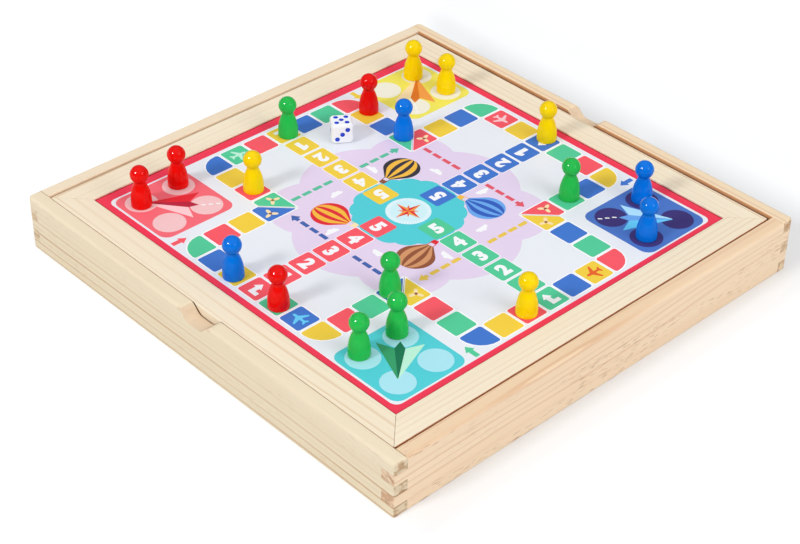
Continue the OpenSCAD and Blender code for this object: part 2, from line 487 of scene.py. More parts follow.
    def _flecks(self) -> Socket:
        """Short dashes of resin in patches, fewer on the sanded tops.

        Returns:
            The mask.
        """
        sheet = self.sheet
        dash = sheet.fade(sheet.noise(self.position, self.DASH_SCALE, 1.0), *self.DASH)
        patch = sheet.fade(sheet.noise(self.position, self.PATCH_SCALE, 1.0), *self.PATCH)
        fleck = sheet.times(sheet.times(dash, patch), self.get("Fleck"))
        sanded = sheet.fade(self.facing["Z"], *UPWARD)
        return sheet.times(fleck, sheet.between(sanded, 1.0, self.SANDED_FLECK))

    def _end_colour(self, line: Socket) -> Socket:
        """The cut ends: pores, pale blotches and the rings as dark bows.

        Args:
            line: Mask of the late wood.

        Returns:
            The colour.
        """
        sheet = self.sheet
        pores = sheet.fade(sheet.noise(self.position, self.PORE_SCALE, 3.0), *self.PORES)
        colour = sheet.mix(pores, self.get("End"), self.get("Late"))
        blotch = sheet.fade(sheet.noise(self.position, self.BLOTCH_SCALE), *self.BLOTCH)
        colour = sheet.mix(sheet.times(blotch, self.BLOTCH_SHARE), colour, self.get("Early"))
        return sheet.mix(sheet.times(line, self.END_RING_SHARE), colour, self.END_RING_BROWN)


class Effects:
    """The shared shader effects, each built once."""

    def __init__(self) -> None:
        """Builds every group."""
        self.pine_grain = PineGrain().build()
        self.seam_line = self._seam_line()
        self.rubbed_edge = self._rubbed_edge()
        self.finger_distance = self._finger_distance()
        self.ink_film = self._ink_film()
        self.lacquer_flow = self._lacquer_flow()

    @staticmethod
    def _seam_line() -> NodeTree:
        """A broken dark line along a joint.

        Returns:
            The group's tree.
        """
        ragged_scale, ragged_swing, core = (420.0, 420.0, 420.0), 2.6, 0.35
        made = NodeGroup("Seam line", {"Position": "v", "Distance": "f", "Width": "f"}, {"Mask": "f"})
        sheet = made.sheet
        ragged = sheet.noise(made.get("Position"), ragged_scale)
        reach = sheet.times(made.get("Width"), sheet.swing(ragged, ragged_swing))
        made.put("Mask", sheet.fade(made.get("Distance"), reach, sheet.times(reach, core)))
        return made.tree

    @staticmethod
    def _rubbed_edge() -> NodeTree:
        """The band of painted shade in the lid's gap between the board and the walls: a square ring about the
        upright axis, above a height.

        Returns:
            The group's tree.
        """
        ragged_scale, ragged_swing, core, soft_foot = (60.0, 60.0, 400.0), 0.8, 0.4, 0.002
        made = NodeGroup(
            "Gap shade band",
            {"Position": "v", "Middle X": "f", "Middle Y": "f", "Half Side": "f", "Reach": "f",
             "From Height": "f"},
            {"Mask": "f"},
        )
        sheet = made.sheet
        place = sheet.split(made.get("Position"))
        across = []
        for axis in "XY":
            across.append(sheet.size(sheet.minus(place[axis], made.get(f"Middle {axis}"))))
        ring = sheet.minus(sheet.math("MAXIMUM", *across), made.get("Half Side"))
        ragged = sheet.noise(made.get("Position"), ragged_scale)
        reach = sheet.times(made.get("Reach"), sheet.swing(ragged, ragged_swing))
        close = sheet.fade(sheet.size(ring), reach, sheet.times(reach, core))
        height = sheet.minus(place["Z"], made.get("From Height"))
        made.put("Mask", sheet.times(close, sheet.fade(height, -soft_foot, soft_foot)))
        return made.tree

    @staticmethod
    def _finger_distance() -> NodeTree:
        """How far a point of a wall is from the edges of its corner fingers.

        Returns:
            The group's tree.
        """
        made = NodeGroup(
            "Finger distance",
            {"Along": "f", "Height": "f", "Block Start": "f", "Finger": "f", "Fingers": "f",
             "Gap Level": "f"},
            {"Distance": "f"},
        )
        sheet = made.sheet
        far, hair = 1.0, 0.001
        beyond = sheet.minus(sheet.size(made.get("Along")), made.get("Block Start"))
        level = sheet.math("DIVIDE", made.get("Height"), made.get("Finger"))
        level = sheet.math("MINIMUM", level, sheet.minus(made.get("Fingers"), hair))
        parity = sheet.math("MODULO", sheet.math("FLOOR", level), 2.0)
        solid = sheet.size(sheet.minus(parity, made.get("Gap Level")))
        shoulder = sheet.scaled(solid, far, sheet.size(beyond))
        nearest = sheet.math("ROUND", level)
        step = sheet.times(sheet.size(sheet.minus(level, nearest)), made.get("Finger"))
        outside = sheet.math("LESS_THAN", beyond, 0.0)
        step = sheet.scaled(outside, far, step)
        lowest = sheet.math("LESS_THAN", nearest, 0.5)
        highest = sheet.math("GREATER_THAN", nearest, sheet.minus(made.get("Fingers"), 0.5))
        step = sheet.scaled(sheet.math("ADD", lowest, highest), far, step)
        made.put("Distance", sheet.math("MINIMUM", shoulder, step))
        return made.tree

    @staticmethod
    def _ink_film() -> NodeTree:
        """Ink on coated paper: faint mottling and an uneven satin film.

        Returns:
            The group's tree.
        """
        cloud_scale, tooth_scale = (55.0, 55.0, 55.0), (1700.0, 1700.0, 1700.0)
        smoothest, rougher = 0.31, 0.14
        made = NodeGroup(
            "Ink film",
            {"Position": "v", "Ink": "c", "Mottle": "f"},
            {"Color": "c", "Roughness": "f", "Height": "f"},
        )
        sheet = made.sheet
        cloud = sheet.noise(made.get("Position"), cloud_scale)
        tooth = sheet.noise(made.get("Position"), tooth_scale)
        both = sheet.scaled(tooth, 0.5, sheet.times(cloud, 0.5))
        factor = sheet.swing(both, made.get("Mottle"))
        tone = sheet.add("ShaderNodeCombineColor")
        for socket in tone.inputs:
            sheet.feed(socket, factor)
        made.put("Color", sheet.mix(1.0, made.get("Ink"), tone.outputs[0], "MULTIPLY"))
        made.put("Roughness", sheet.scaled(both, rougher, smoothest))
        made.put("Height", tooth)
        return made.tree

    @staticmethod
    def _lacquer_flow() -> NodeTree:
        """A gloss coat: slow colour drift, a faint orange peel, and a thicker film on what faces up.

        Returns:
            The group's tree.
        """
        drift_scale, peel_scale = (140.0, 140.0, 60.0), (520.0, 520.0, 380.0)
        deepening, facing_up = (0.35, 0.75), (0.35, 0.62)
        smoothest, rougher = 0.14, 0.12
        made = NodeGroup(
            "Lacquer flow",
            {"Position": "v", "Normal": "v", "Tint": "c", "Deep": "c", "Side Coat": "f", "Top Coat": "f"},
            {"Color": "c", "Roughness": "f", "Height": "f", "Coat": "f"},
        )
        sheet = made.sheet
        drift = sheet.noise(made.get("Position"), drift_scale)
        made.put("Color", sheet.mix(sheet.fade(drift, *deepening), made.get("Tint"), made.get("Deep")))
        made.put("Roughness", sheet.scaled(drift, rougher, smoothest))
        made.put("Height", sheet.noise(made.get("Position"), peel_scale, 1.5))
        upward = sheet.fade(sheet.split(made.get("Normal"))["Z"], *facing_up)
        gained = sheet.minus(made.get("Top Coat"), made.get("Side Coat"))
        made.put("Coat", sheet.scaled(upward, gained, made.get("Side Coat")))
        return made.tree


class Surface:
    """A material with one Principled shader, object coordinates and a bump."""

    def __init__(self, name: str) -> None:
        """Makes the material.

        Args:
            name: The material's name.
        """
        self.material = bpy.data.materials.new(name)
        self.material.use_nodes = True
        self.sheet = NodeSheet(self.material.node_tree)
        self.shader = self.material.node_tree.nodes["Principled BSDF"]
        self.place = self.sheet.add("ShaderNodeTexCoord")
        self.position = self.place.outputs["Object"]
        self.normal = self.place.outputs["Normal"]

    def set(self, name: str, value: Any) -> None:
        """Sets or feeds one of the shader's own inputs."""
        self.sheet.feed(self.shader.inputs[name], value)

    def turned(self, output: str, degrees: float, kind: str = "POINT") -> Socket:
        """Turns object coordinates or the normal about Z.

        Args:
            output: Which output of the coordinates.
            degrees: Turn about Z.
            kind: How the vector is treated.

        Returns:
            The turned vector.
        """
        turn = (0.0, 0.0, math.radians(degrees))
        node = self.sheet.wired(
            "ShaderNodeMapping", {"vector_type": kind}, Rotation=turn, Vector=self.place.outputs[output]
        )
        return node.outputs["Vector"]

    def dress(self, effect: Node, bump: float, depth: float, colour: Socket | None = None) -> None:
        """Feeds an effect's outputs to the shader.

        Args:
            effect: Group node with Color, Roughness and Height.
            bump: Strength of the bump.
            depth: Height of the bump in metres.
            colour: Base colour, where it isn't the effect's own.
        """
        self.set("Base Color", colour or effect.outputs["Color"])
        self.set("Roughness", effect.outputs["Roughness"])
        height = effect.outputs["Height"]
        node = self.sheet.wired("ShaderNodeBump", Strength=bump, Distance=depth, Height=height)
        self.set("Normal", node.outputs["Normal"])


@dataclass(frozen=True)
class WoodSizes:
    """Sizes of the woodwork that its finishes follow, in metres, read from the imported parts."""

    half_side: float
    wall: float
    finger: float
    fingers: int
    board_middle: Point
    board_half: float
    board_low: float
    board_top: float

    @property
    def wall_top(self) -> float:
        """Gives the height of the walls."""
        return self.finger * self.fingers

    @staticmethod
    def from_frame(fingers: int = 5) -> "WoodSizes":
        """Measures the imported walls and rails.

        Args:
            fingers: Finger levels in the height of a wall.

        Returns:
            The sizes.
        """
        low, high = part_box("front_wall")
        rail_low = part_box("left_rail")[0]
        rail_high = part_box("right_rail")[1]
        middle = (rail_low + rail_high) / 2
        half = (rail_high.x - rail_low.x) / 2
        return WoodSizes(
            half_side=high.x, wall=high.y - low.y, finger=high.z / fingers, fingers=fingers,
            board_middle=(middle.x, middle.y), board_half=half, board_low=rail_low.z, board_top=rail_high.z,
        )


@dataclass(frozen=True)
class PineFinish:
    """Bare sanded pine, cut from its own place in a log, with lengths in millimetres."""

    name: str
    grain: Grain
    early: Colour = srgb(242, 228, 202)
    late: Colour = srgb(218, 180, 142)
    end: Colour = srgb(196, 164, 128)
    ring_width: float = 3.4
    pith: Point = (40.0, -60.0)
    waver: float = 5.0
    lines: float = 0.8
    plain_from: float = 1000.0
    fleck: float = 0.25
    seam: Seam = Seam.NONE
    seam_strength: float = 0.3
    gap_level: int = 0
    # Painted shade in the lid's gap: which face gets it, and how strong it is.
    rubbed: Rubbed = Rubbed.NOWHERE
    rub_strength: float = 0.8
    top_tint: Colour = srgb(255, 255, 255)
    scooped: bool = False

    def material(self, effects: Effects, sizes: WoodSizes) -> Material:
        """Builds the material."""
        return PineSurface(self, effects, sizes).build()


class PineSurface(Surface):
    """The surface of one board: its grain, its notch, its joints and the painted shade of the lid's gap."""

    BUMP = 0.25
    BUMP_DEPTH = 0.08
    SPECULAR = 0.25

    # The glued joint, and what is added where the front mitre stands open.
    SEAM_BROWN = srgb(120, 78, 44)
    SEAM_WIDTH = 0.16
    OPEN_WIDTH = 0.05
    OPEN_STRENGTH = 0.8

    # The lid's gap, darkened with painted shade: how far its brown reaches, and how far down or aside each tone
    # takes over.
    RUBBED_BROWN = srgb(188, 98, 28)
    RUBBED_AMBER = srgb(218, 150, 92)
    RUBBED_FOOT = srgb(130, 58, 10)
    INNER_REACH = 0.4
    OUTER_REACH = 0.35
    FOOT_DEPTH = (-0.4, -1.2)
    BESIDE_NOTCH = (12.0, 16.0)

    # The thumb notch: its edge as seen from the gap, under which painted shade darkens the rail, and the cut
    # itself.
    EDGE_FALL = (13.5, 4.0)
    EDGE_DEPTH = 6.0
    EDGE_SOFT = (0.2, -0.3)
    SCOOP_SIDE = (14.5, 13.0)
    SCOOP_TOP = (-0.2, -0.9)
    SCOOP_SLOPE = (0.05, 0.3)
    SCOOP_SHARE = 0.8
    SCOOP_PINK = srgb(225, 199, 169)

    def __init__(self, finish: PineFinish, effects: Effects, sizes: WoodSizes) -> None:
        """Makes the material.

        Args:
            finish: The board's finish.
            effects: Shared effects.
            sizes: Sizes of the woodwork.
        """
        super().__init__(finish.name)
        self.finish = finish
        self.effects = effects
        self.sizes = sizes
        self.along = self.turned("Object", finish.grain.value)

    def build(self) -> Material:
        """Lays the notch, the joints and the gap's painted shade over the grain.

        Returns:
            The material.
        """
        sheet, finish = self.sheet, self.finish
        wood = sheet.group(
            self.effects.pine_grain, Position=self.along,
            Normal=self.turned("Normal", finish.grain.value, "VECTOR"), Early=finish.early, Late=finish.late,
            End=finish.end, Ring_Width=finish.ring_width * MM, Pith_Y=finish.pith[0] * MM,
            Pith_Z=finish.pith[1] * MM, Waver=finish.waver * MM, Lines=finish.lines,
            Plain_From=finish.plain_from * MM, Fleck=finish.fleck,
        )
        rise = sheet.split(self.normal)["Z"]
        colour = sheet.mix(sheet.fade(rise, *UPWARD), wood.outputs["Color"], finish.top_tint, "MULTIPLY")
        if finish.scooped:
            colour = sheet.mix(sheet.times(self._scoop(rise), self.SCOOP_SHARE), colour, self.SCOOP_PINK)
        if finish.seam is not Seam.NONE:
            colour = sheet.mix(self._seam_mask(), colour, self.SEAM_BROWN)
        if finish.rubbed is not Rubbed.NOWHERE:
            colour = self._rub(colour)
        self.dress(wood, self.BUMP, self.BUMP_DEPTH * MM, colour)
        self.set("Specular IOR Level", self.SPECULAR)
        return self.material

    def _scoop(self, rise: Socket) -> Socket:
        """Finds the cut of the thumb notch, whose end grain is pinker than the faces.

        Args:
            rise: Upward part of the normal.

        Returns:
            1 in the cut, otherwise 0.
        """
        sheet = self.sheet
        place = sheet.split(self.position)
        beside = sheet.fade(sheet.size(place["Y"]), *metres(self.SCOOP_SIDE))
        below = sheet.fade(sheet.minus(place["Z"], self.sizes.wall_top), *metres(self.SCOOP_TOP))
        return sheet.times(sheet.times(beside, below), sheet.fade(rise, *self.SCOOP_SLOPE))

    def _rub(self, colour: Socket) -> Socket:
        """Paints the shade of the lid's gap, in browns, on the face that looks into it.

        Args:
            colour: Colour of the wood.

        Returns:
            The colour with the painted shade.
        """
        sheet, sizes = self.sheet, self.sizes
        inner = self.finish.rubbed is Rubbed.INNER_FACE
        middle = (0.0, 0.0) if inner else sizes.board_middle
        half = sizes.half_side - sizes.wall if inner else sizes.board_half
        reach = self.INNER_REACH if inner else self.OUTER_REACH
        band = sheet.group(
            self.effects.rubbed_edge, Position=self.position, Middle_X=middle[0], Middle_Y=middle[1],
            Half_Side=half, Reach=reach * MM, From_Height=sizes.board_low,
        ).outputs["Mask"]
        amount = sheet.times(band, self.finish.rub_strength)
        place = sheet.split(self.position)
        if inner:
            # Painted shade: amber near the top of the gap, deep brown further down.
            sunk = sheet.fade(sheet.minus(place["Z"], sizes.board_top), *metres(self.FOOT_DEPTH))
            return sheet.mix(amount, colour, sheet.mix(sunk, self.RUBBED_AMBER, self.RUBBED_FOOT))
        # Painted shade on a rail's outer face: brown along the gap, but not where the notch lets light onto it.
        if self.finish.grain is Grain.ALONG_X:
            return sheet.mix(amount, colour, self.RUBBED_BROWN)
        across = sheet.size(place["Y"])
        beside = sheet.fade(across, *metres(self.BESIDE_NOTCH))
        colour = sheet.mix(sheet.times(amount, beside), colour, self.RUBBED_BROWN)
        # Painted shade: deep brown under the notch's edge, where the gap is darkest.
        fall = sheet.fade(across, *metres(self.EDGE_FALL))
        edge = sheet.scaled(fall, -self.EDGE_DEPTH * MM, sizes.wall_top)
        under = sheet.fade(sheet.minus(place["Z"], edge), *metres(self.EDGE_SOFT))
        dark = sheet.times(band, sheet.times(under, sheet.minus(1.0, beside)))
        return sheet.mix(dark, colour, self.RUBBED_FOOT)

    def _seam_mask(self) -> Socket:
        """Draws the glued joint as a thin line, wider and darker where the front mitre stands open.

        Returns:
            How dark the joint is at a point.
        """
        sheet = self.sheet
        open_part = 0.0
        if self.finish.seam is Seam.FINGERS:
            distance = self._finger_distance()
        else:
            distance = self._mitre_distance()
            place = sheet.split(self.position)
            left, near = [sheet.math("LESS_THAN", place[axis], 0.0) for axis in "XY"]
            open_part = sheet.times(left, near)
        width = sheet.scaled(open_part, self.OPEN_WIDTH * MM, self.SEAM_WIDTH * MM)
        line = sheet.group(self.effects.seam_line, Position=self.along, Distance=distance, Width=width)
        strength = sheet.between(open_part, self.finish.seam_strength, self.OPEN_STRENGTH)
        return sheet.times(line.outputs["Mask"], strength)

    def _finger_distance(self) -> Socket:
        """Measures how far a point of a wall is from its finger joints.

        Returns:
            The distance in metres.
        """
        sizes = self.sizes
        place = self.sheet.split(self.along)
        node = self.sheet.group(
            self.effects.finger_distance, Along=place["X"], Height=place["Z"],
            Block_Start=sizes.half_side - sizes.wall, Finger=sizes.finger, Fingers=float(sizes.fingers),
            Gap_Level=float(self.finish.gap_level),
        )
        return node.outputs["Distance"]

    def _mitre_distance(self) -> Socket:
        """Measures how far a point of a rail is from the mitres of the frame.

        Returns:
            The distance in metres.
        """
        sheet = self.sheet
        place = sheet.split(self.position)
        reach = []
        for axis, middle in zip("XY", self.sizes.board_middle):
            reach.append(sheet.size(sheet.minus(place[axis], middle)))
        return sheet.times(sheet.size(sheet.minus(*reach)), math.sqrt(0.5))


@dataclass(frozen=True)
class LacquerFinish:
    """Gloss coat of a pawn or of the die."""

    name: str
    tint: Colour
    deep: Colour
    side_coat: float = 0.15
    top_coat: float = 1.0
    peel: float = 0.012

    PEEL_DEPTH = 0.2
    SPECULAR = 0.05
    COAT_ROUGHNESS = 0.05
    COAT_IOR = 1.7

    def material(self, effects: Effects) -> Material:
        """Builds the material.

        Args:
            effects: Shared effects.

        Returns:
            The material.
        """
        made = Surface(self.name)
        flow = made.sheet.group(
            effects.lacquer_flow, Position=made.position, Normal=made.normal, Tint=self.tint, Deep=self.deep,
            Side_Coat=self.side_coat, Top_Coat=self.top_coat,
        )
        made.dress(flow, self.peel, self.PEEL_DEPTH * MM)
        made.set("Specular IOR Level", self.SPECULAR)
        made.set("Coat Weight", flow.outputs["Coat"])
        made.set("Coat Roughness", self.COAT_ROUGHNESS)
        made.set("Coat IOR", self.COAT_IOR)
        return made.material


@dataclass(frozen=True)
class InkFinish:
    """One printing ink under the satin laminate."""

    ink: Ink
    mottle: float = 0.05

    TOOTH = 0.04
    TOOTH_DEPTH = 0.02
    SPECULAR = 0.2

    def material(self, effects: Effects) -> Material:
        """Builds the material.

        Args:
            effects: Shared effects.

        Returns:
            The material.
        """
        made = Surface("ink_" + self.ink.name.lower())
        film = made.sheet.group(
            effects.ink_film, Position=made.position, Ink=self.ink.value, Mottle=self.mottle
        )
        made.dress(film, self.TOOTH, self.TOOTH_DEPTH * MM)
        made.set("Specular IOR Level", self.SPECULAR)
        return made.material


# Outlines, in millimetres and anticlockwise.


def turned(point: Point, degrees: float) -> Point:
    """Turns a point anticlockwise about the origin."""
    cos, sin = math.cos(math.radians(degrees)), math.sin(math.radians(degrees))
    return (point[0] * cos - point[1] * sin, point[0] * sin + point[1] * cos)


def arc(middle: Point, radius: float, start: float, end: float, steps: int) -> Outline:
    """Points along an arc.

    Args:
        middle: Centre.
        radius: Radius.
        start: First angle in degrees.
        end: Last angle in degrees.
        steps: Number of stretches.

    Returns:
        The points, both ends included.
    """
    points = []
    for step in range(steps + 1):
        angle = math.radians(start + (end - start) * step / steps)
        points.append((middle[0] + radius * math.cos(angle), middle[1] + radius * math.sin(angle)))
    return points


def disc(radius: float, steps: int = 64, stretch: float = 1.0) -> Outline:
    """A disc about the origin, or an ellipse where its height is stretched."""
    return [(x, y * stretch) for x, y in arc((0.0, 0.0), radius, 0.0, 360.0, steps)[:-1]]


def rounded(corners: Outline, radii: float | list[float], steps: int = 6) -> Outline:
    """Rounds the corners of a polygon.

    Args:
        corners: Corners of the polygon, anticlockwise.
        radii: One radius, or one for each corner.
        steps: Stretches of each arc.

    Returns:
        The outline.
    """
    count = len(corners)
    each = radii if isinstance(radii, list) else [radii] * count
    points: Outline = []
    for index, (corner, radius) in enumerate(zip(corners, each)):
        here = Vector(corner)
        before = (Vector(corners[index - 1]) - here).normalized()
        after = (Vector(corners[(index + 1) % count]) - here).normalized()
        if radius <= 0.0 or abs(before.cross(after)) < 1e-6:
            points.append(corner)
            continue
        half = before.angle(after) / 2
        bisector = (before + after).normalized()
        middle = here + bisector * (radius / math.sin(half))
        first = here + before * (radius / math.tan(half)) - middle
        last = here + after * (radius / math.tan(half)) - middle
        start = math.degrees(math.atan2(first.y, first.x))
        sweep = math.degrees(math.atan2(first.cross(last), first.dot(last)))
        points.extend(arc((middle.x, middle.y), radius, start, start + sweep, steps))
    return points


def rectangle(
    width: float, height: float, radii: float | list[float] = 0.0, middle: Point = (0.0, 0.0)
) -> Outline:
    """A rectangle with rounded corners.

    Args:
        width: Size along X.
        height: Size along Y.
        radii: One radius, or one for each corner from the lower left.
        middle: Centre.

    Returns:
        The outline.
    """
    x, y = width / 2, height / 2
    corners = [(-x, -y), (x, -y), (x, y), (-x, y)]
    return [(px + middle[0], py + middle[1]) for px, py in rounded(corners, radii)]


def lobed(cusps: Outline, swells: list[float], steps: int = 14) -> Outline:
    """A flower outline of arcs that bulge outwards between cusps.

    Args:
        cusps: The inward points, anticlockwise.
        swells: How far the arc after each cusp bulges beyond its chord.
        steps: Stretches of each arc.

    Returns:
        The outline.
    """
    points: Outline = []
    for index, (cusp, swell) in enumerate(zip(cusps, swells)):
        start = Vector(cusp)
        chord = Vector(cusps[(index + 1) % len(cusps)]) - start
        half = chord.length / 2
        radius = (half * half + swell * swell) / (2 * swell)
        outward = Vector((chord.y, -chord.x)).normalized()
        middle = start + chord / 2 + outward * (swell - radius)
        first = start - middle
        begin = math.degrees(math.atan2(first.y, first.x))
        sweep = 2 * math.degrees(math.atan2(half, radius - swell))
        points.extend(arc((middle.x, middle.y), radius, begin, begin + sweep, steps)[:-1])
    return points


def straight_arrow(length: float, width: float, shaft: float, head: float) -> Outline:
    """An arrow that points along +X, centred on the origin.

    Args:
        length: Overall length.
        width: Width of the head.
        shaft: Width of the shaft.
        head: Length of the head.

    Returns:
        The outline.
    """
    tip, tail, neck = length / 2, -length / 2, length / 2 - head
    corners = [
        (tail, -shaft / 2), (neck, -shaft / 2), (neck, -width / 2), (tip, 0.0), (neck, width / 2),
        (neck, shaft / 2), (tail, shaft / 2),
    ]
    return rounded(corners, 0.25, 3)


@dataclass(frozen=True)
class Spot:
    """A place on the print, in millimetres, and the turn of what is stamped there, in degrees."""

    x: float
    y: float
    turn: float = 0.0

    def quarter(self, number: int) -> "Spot":
        """Gives the same place in another quarter of the board, counted clockwise."""
        x, y = turned((self.x, self.y), QUARTER_TURN * number)
        return Spot(x, y, self.turn + QUARTER_TURN * number)


ALL_QUARTERS = range(4)
HERE = [Spot(0.0, 0.0)]


def everywhere(*spots: Spot) -> list[Spot]:
    """Gives places in all four quarters of the board."""
    return [spot.quarter(quarter) for quarter in ALL_QUARTERS for spot in spots]


def linked(name: str, data: ID) -> Object:
    """Puts a mesh, a curve, a lamp or a camera in the scene.

    Args:
        name: Name of the object.
        data: What it holds.

    Returns:
        The object.
    """
    made = bpy.data.objects.new(name, data)
    bpy.context.scene.collection.objects.link(made)
    return made


def prism(name: str, outline: Outline, low: float, high: float) -> Mesh:
    """A closed plate with a flat outline.

    Args:
        name: Name of the mesh.
        outline: Outline in millimetres, anticlockwise.
        low: Underside in metres.
        high: Upper side in metres.

    Returns:
        The mesh.
    """
    count = len(outline)
    vertices = [(x * MM, y * MM, z) for z in (low, high) for x, y in outline]
    faces = [tuple(range(count - 1, -1, -1)), tuple(range(count, 2 * count))]
    faces += [(i, (i + 1) % count, count + (i + 1) % count, count + i) for i in range(count)]
    mesh = bpy.data.meshes.new(name)
    mesh.from_pydata(vertices, [], faces)
    return mesh


def closed(mesh: Mesh) -> Mesh:
    """Merges a mesh's doubled points and points its faces outwards.

    Args:
        mesh: The mesh.

    Returns:
        The same mesh.
    """
    shape = bmesh.new()
    shape.from_mesh(mesh)
    bmesh.ops.remove_doubles(shape, verts=shape.verts, dist=MERGED)
    bmesh.ops.recalc_face_normals(shape, faces=shape.faces)
    shape.to_mesh(mesh)
    shape.free()
    return mesh


def numeral(text: str, height: float, weight: float, low: float, high: float) -> Mesh:
    """A bold numeral as a closed plate, centred on the origin.

    Args:
        text: The numeral.
        height: Its height in millimetres.
        weight: How far its strokes are fattened, as a share of the type size.
        low: Underside in metres.
        high: Upper side in metres.

    Returns:
        The mesh.
    """
    curve = bpy.data.curves.new("numeral", "FONT")
    curve.body = text
    curve.size = 1.0
    curve.offset = weight
    curve.extrude = 0.5
    curve.resolution_u = 4
    holder = linked("numeral", curve)
    holder_evaluated = holder.evaluated_get(bpy.context.evaluated_depsgraph_get())
    mesh = bpy.data.meshes.new_from_object(holder_evaluated)
    bpy.data.objects.remove(holder)
    xs = [vertex.co.x for vertex in mesh.vertices]
    ys = [vertex.co.y for vertex in mesh.vertices]
    scale = height * MM / (max(ys) - min(ys))
    for vertex in mesh.vertices:
        vertex.co.x = (vertex.co.x - (max(xs) + min(xs)) / 2) * scale
        vertex.co.y = (vertex.co.y - (max(ys) + min(ys)) / 2) * scale
        vertex.co.z = high if vertex.co.z > 0.0 else low
    return closed(mesh)


class NodeTool(NodeGroup):
    """A Geometry Nodes tree with named inputs, run as a modifier and turned into a plain mesh."""

    TREE = "GeometryNodeTree"

    def close(self, geometry: Socket) -> None:
        """Ends the tree in real geometry with its finish.

        Args:
            geometry: What the tree has made.
        """
        real = self.sheet.wired("GeometryNodeRealizeInstances", Geometry=geometry).outputs["Geometry"]
        dressed = self.sheet.wired("GeometryNodeSetMaterial", Geometry=real, Material=self.get("Finish"))
        self.put("Geometry", dressed.outputs["Geometry"])

    def run(self, name: str, base: Mesh, **values: Any) -> Mesh:
        """Runs the tree on a mesh.

        Args:
            name: Name of the result.
            base: Mesh that the tree starts from.
            **values: Value of each named input, with _ for a space.

        Returns:
            The result as a plain mesh.
        """
        holder = linked(name, base)
        modifier = holder.modifiers.new(self.tree.name, "NODES")
        modifier.node_group = self.tree
        for key, value in values.items():
            modifier[self.keys[key.replace("_", " ")]] = value
        holder_evaluated = holder.evaluated_get(bpy.context.evaluated_depsgraph_get())
        made = bpy.data.meshes.new_from_object(holder_evaluated)
        made.name = name
        holder.modifiers.remove(modifier)
        bpy.data.objects.remove(holder)
        made.materials.clear()
        made.materials.append(values["Finish"])
        made.polygons.foreach_set("material_index", [0] * len(made.polygons))
        return made


class Stamper(NodeTool):
    """Stamps one shape at many spots."""

    TURN = "turn"

    def __init__(self) -> None:
        """Builds the tree: the shape on every point, turned by the point's own angles."""
        super().__init__("Stamp on spots", {"Geometry": "g", "Shape": "o", "Finish": "m"}, {"Geometry": "g"})
        sheet = self.sheet
        shape = sheet.wired("GeometryNodeObjectInfo", Object=self.get("Shape"))
        turn = sheet.wired("GeometryNodeInputNamedAttribute", {"data_type": "FLOAT_VECTOR"}, Name=self.TURN)
        rotation = sheet.add("FunctionNodeEulerToRotation")
        sheet.feed(rotation.inputs[0], turn.outputs["Attribute"])
        stamped = sheet.wired(
            "GeometryNodeInstanceOnPoints", Points=self.get("Geometry"), Instance=shape.outputs["Geometry"],
            Rotation=rotation.outputs[0],
        )
        self.close(stamped.outputs["Instances"])

    def stamp(
        self, name: str, shape: Mesh, places: list[tuple[Vector, Vector]], finish: Material
    ) -> Mesh:
        """Stamps a shape at each place.

        Args:
            name: Name of the result.
            shape: The shape.
            places: Position in metres and Euler angles of each stamp.
            finish: Material of the stamps.

        Returns:
            All stamps in one mesh.
        """
        points = bpy.data.meshes.new(name + "_spots")
        points.from_pydata([place for place, _ in places], [], [])
        angles = points.attributes.new(self.TURN, "FLOAT_VECTOR", "POINT")
        for item, (_, angle) in zip(angles.data, places):
            item.vector = angle
        holder = linked(name + "_shape", shape)
        made = self.run(name, points, Shape=holder, Finish=finish)
        bpy.data.objects.remove(holder)
        return made


class Lathe(NodeTool):
    """Turns a profile about an upright axis."""

    SEWN = 1e-6

    def __init__(self) -> None:
        """Builds the tree: a grid of rings and sides, each ring on its point of the profile."""
        super().__init__(
            "Turn on the lathe",
            {"Geometry": "g", "Rings": "i", "Sides": "i", "Spot": "v", "Finish": "m"},
            {"Geometry": "g"},
        )
        sheet = self.sheet
        given = self.source.outputs
        grid = sheet.wired(
            "GeometryNodeMeshGrid", Size_X=1.0, Size_Y=1.0, Vertices_X=given["Rings"],
            Vertices_Y=sheet.math("ADD", given["Sides"], 1.0),
        )
        where = sheet.add("GeometryNodeInputPosition").outputs[0]
        place = sheet.split(where)
        share = sheet.math("ADD", place["X"], 0.5)
        ring = sheet.math("ROUND", sheet.times(share, sheet.minus(given["Rings"], 1.0)))
        sampled = {"data_type": "FLOAT_VECTOR", "domain": "POINT"}
        profile = sheet.wired(
            "GeometryNodeSampleIndex", sampled, Geometry=given["Geometry"], Value=where, Index=ring
        )
        point = sheet.split(profile.outputs[0])
        angle = sheet.times(sheet.math("ADD", place["Y"], 0.5), math.tau)
        wound = sheet.wired(
            "ShaderNodeCombineXYZ", X=sheet.times(point["X"], sheet.math("COSINE", angle)),
            Y=sheet.times(point["X"], sheet.math("SINE", angle)), Z=point["Z"],
        )
        standing = sheet.add("ShaderNodeVectorMath", operation="ADD")
        sheet.feed(standing.inputs[0], wound.outputs[0])
        sheet.feed(standing.inputs[1], given["Spot"])
        made = sheet.wired(
            "GeometryNodeSetPosition", Geometry=grid.outputs["Mesh"], Position=standing.outputs[0]
        ).outputs["Geometry"]
        made = sheet.wired("GeometryNodeMergeByDistance", Geometry=made, Distance=self.SEWN).outputs["Geometry"]
        self.close(sheet.wired("GeometryNodeSetShadeSmooth", Geometry=made).outputs["Geometry"])

    def turn(
        self, name: str, profile: Outline, sides: int, spot: Vector, finish: Material
    ) -> Mesh:
        """Turns a profile.

        Args:
            name: Name of the result.
            profile: Radius and height of each point, in millimetres, from the axis back to the axis.
            sides: Facets round the axis.
            spot: Where the axis stands, in metres.
            finish: Material of the result.

        Returns:
            The closed mesh.
        """
        base = bpy.data.meshes.new(name + "_profile")
        base.from_pydata([(x * MM, 0.0, y * MM) for x, y in profile], [], [])
        return closed(self.run(name, base, Rings=len(profile), Sides=sides, Spot=spot, Finish=finish))


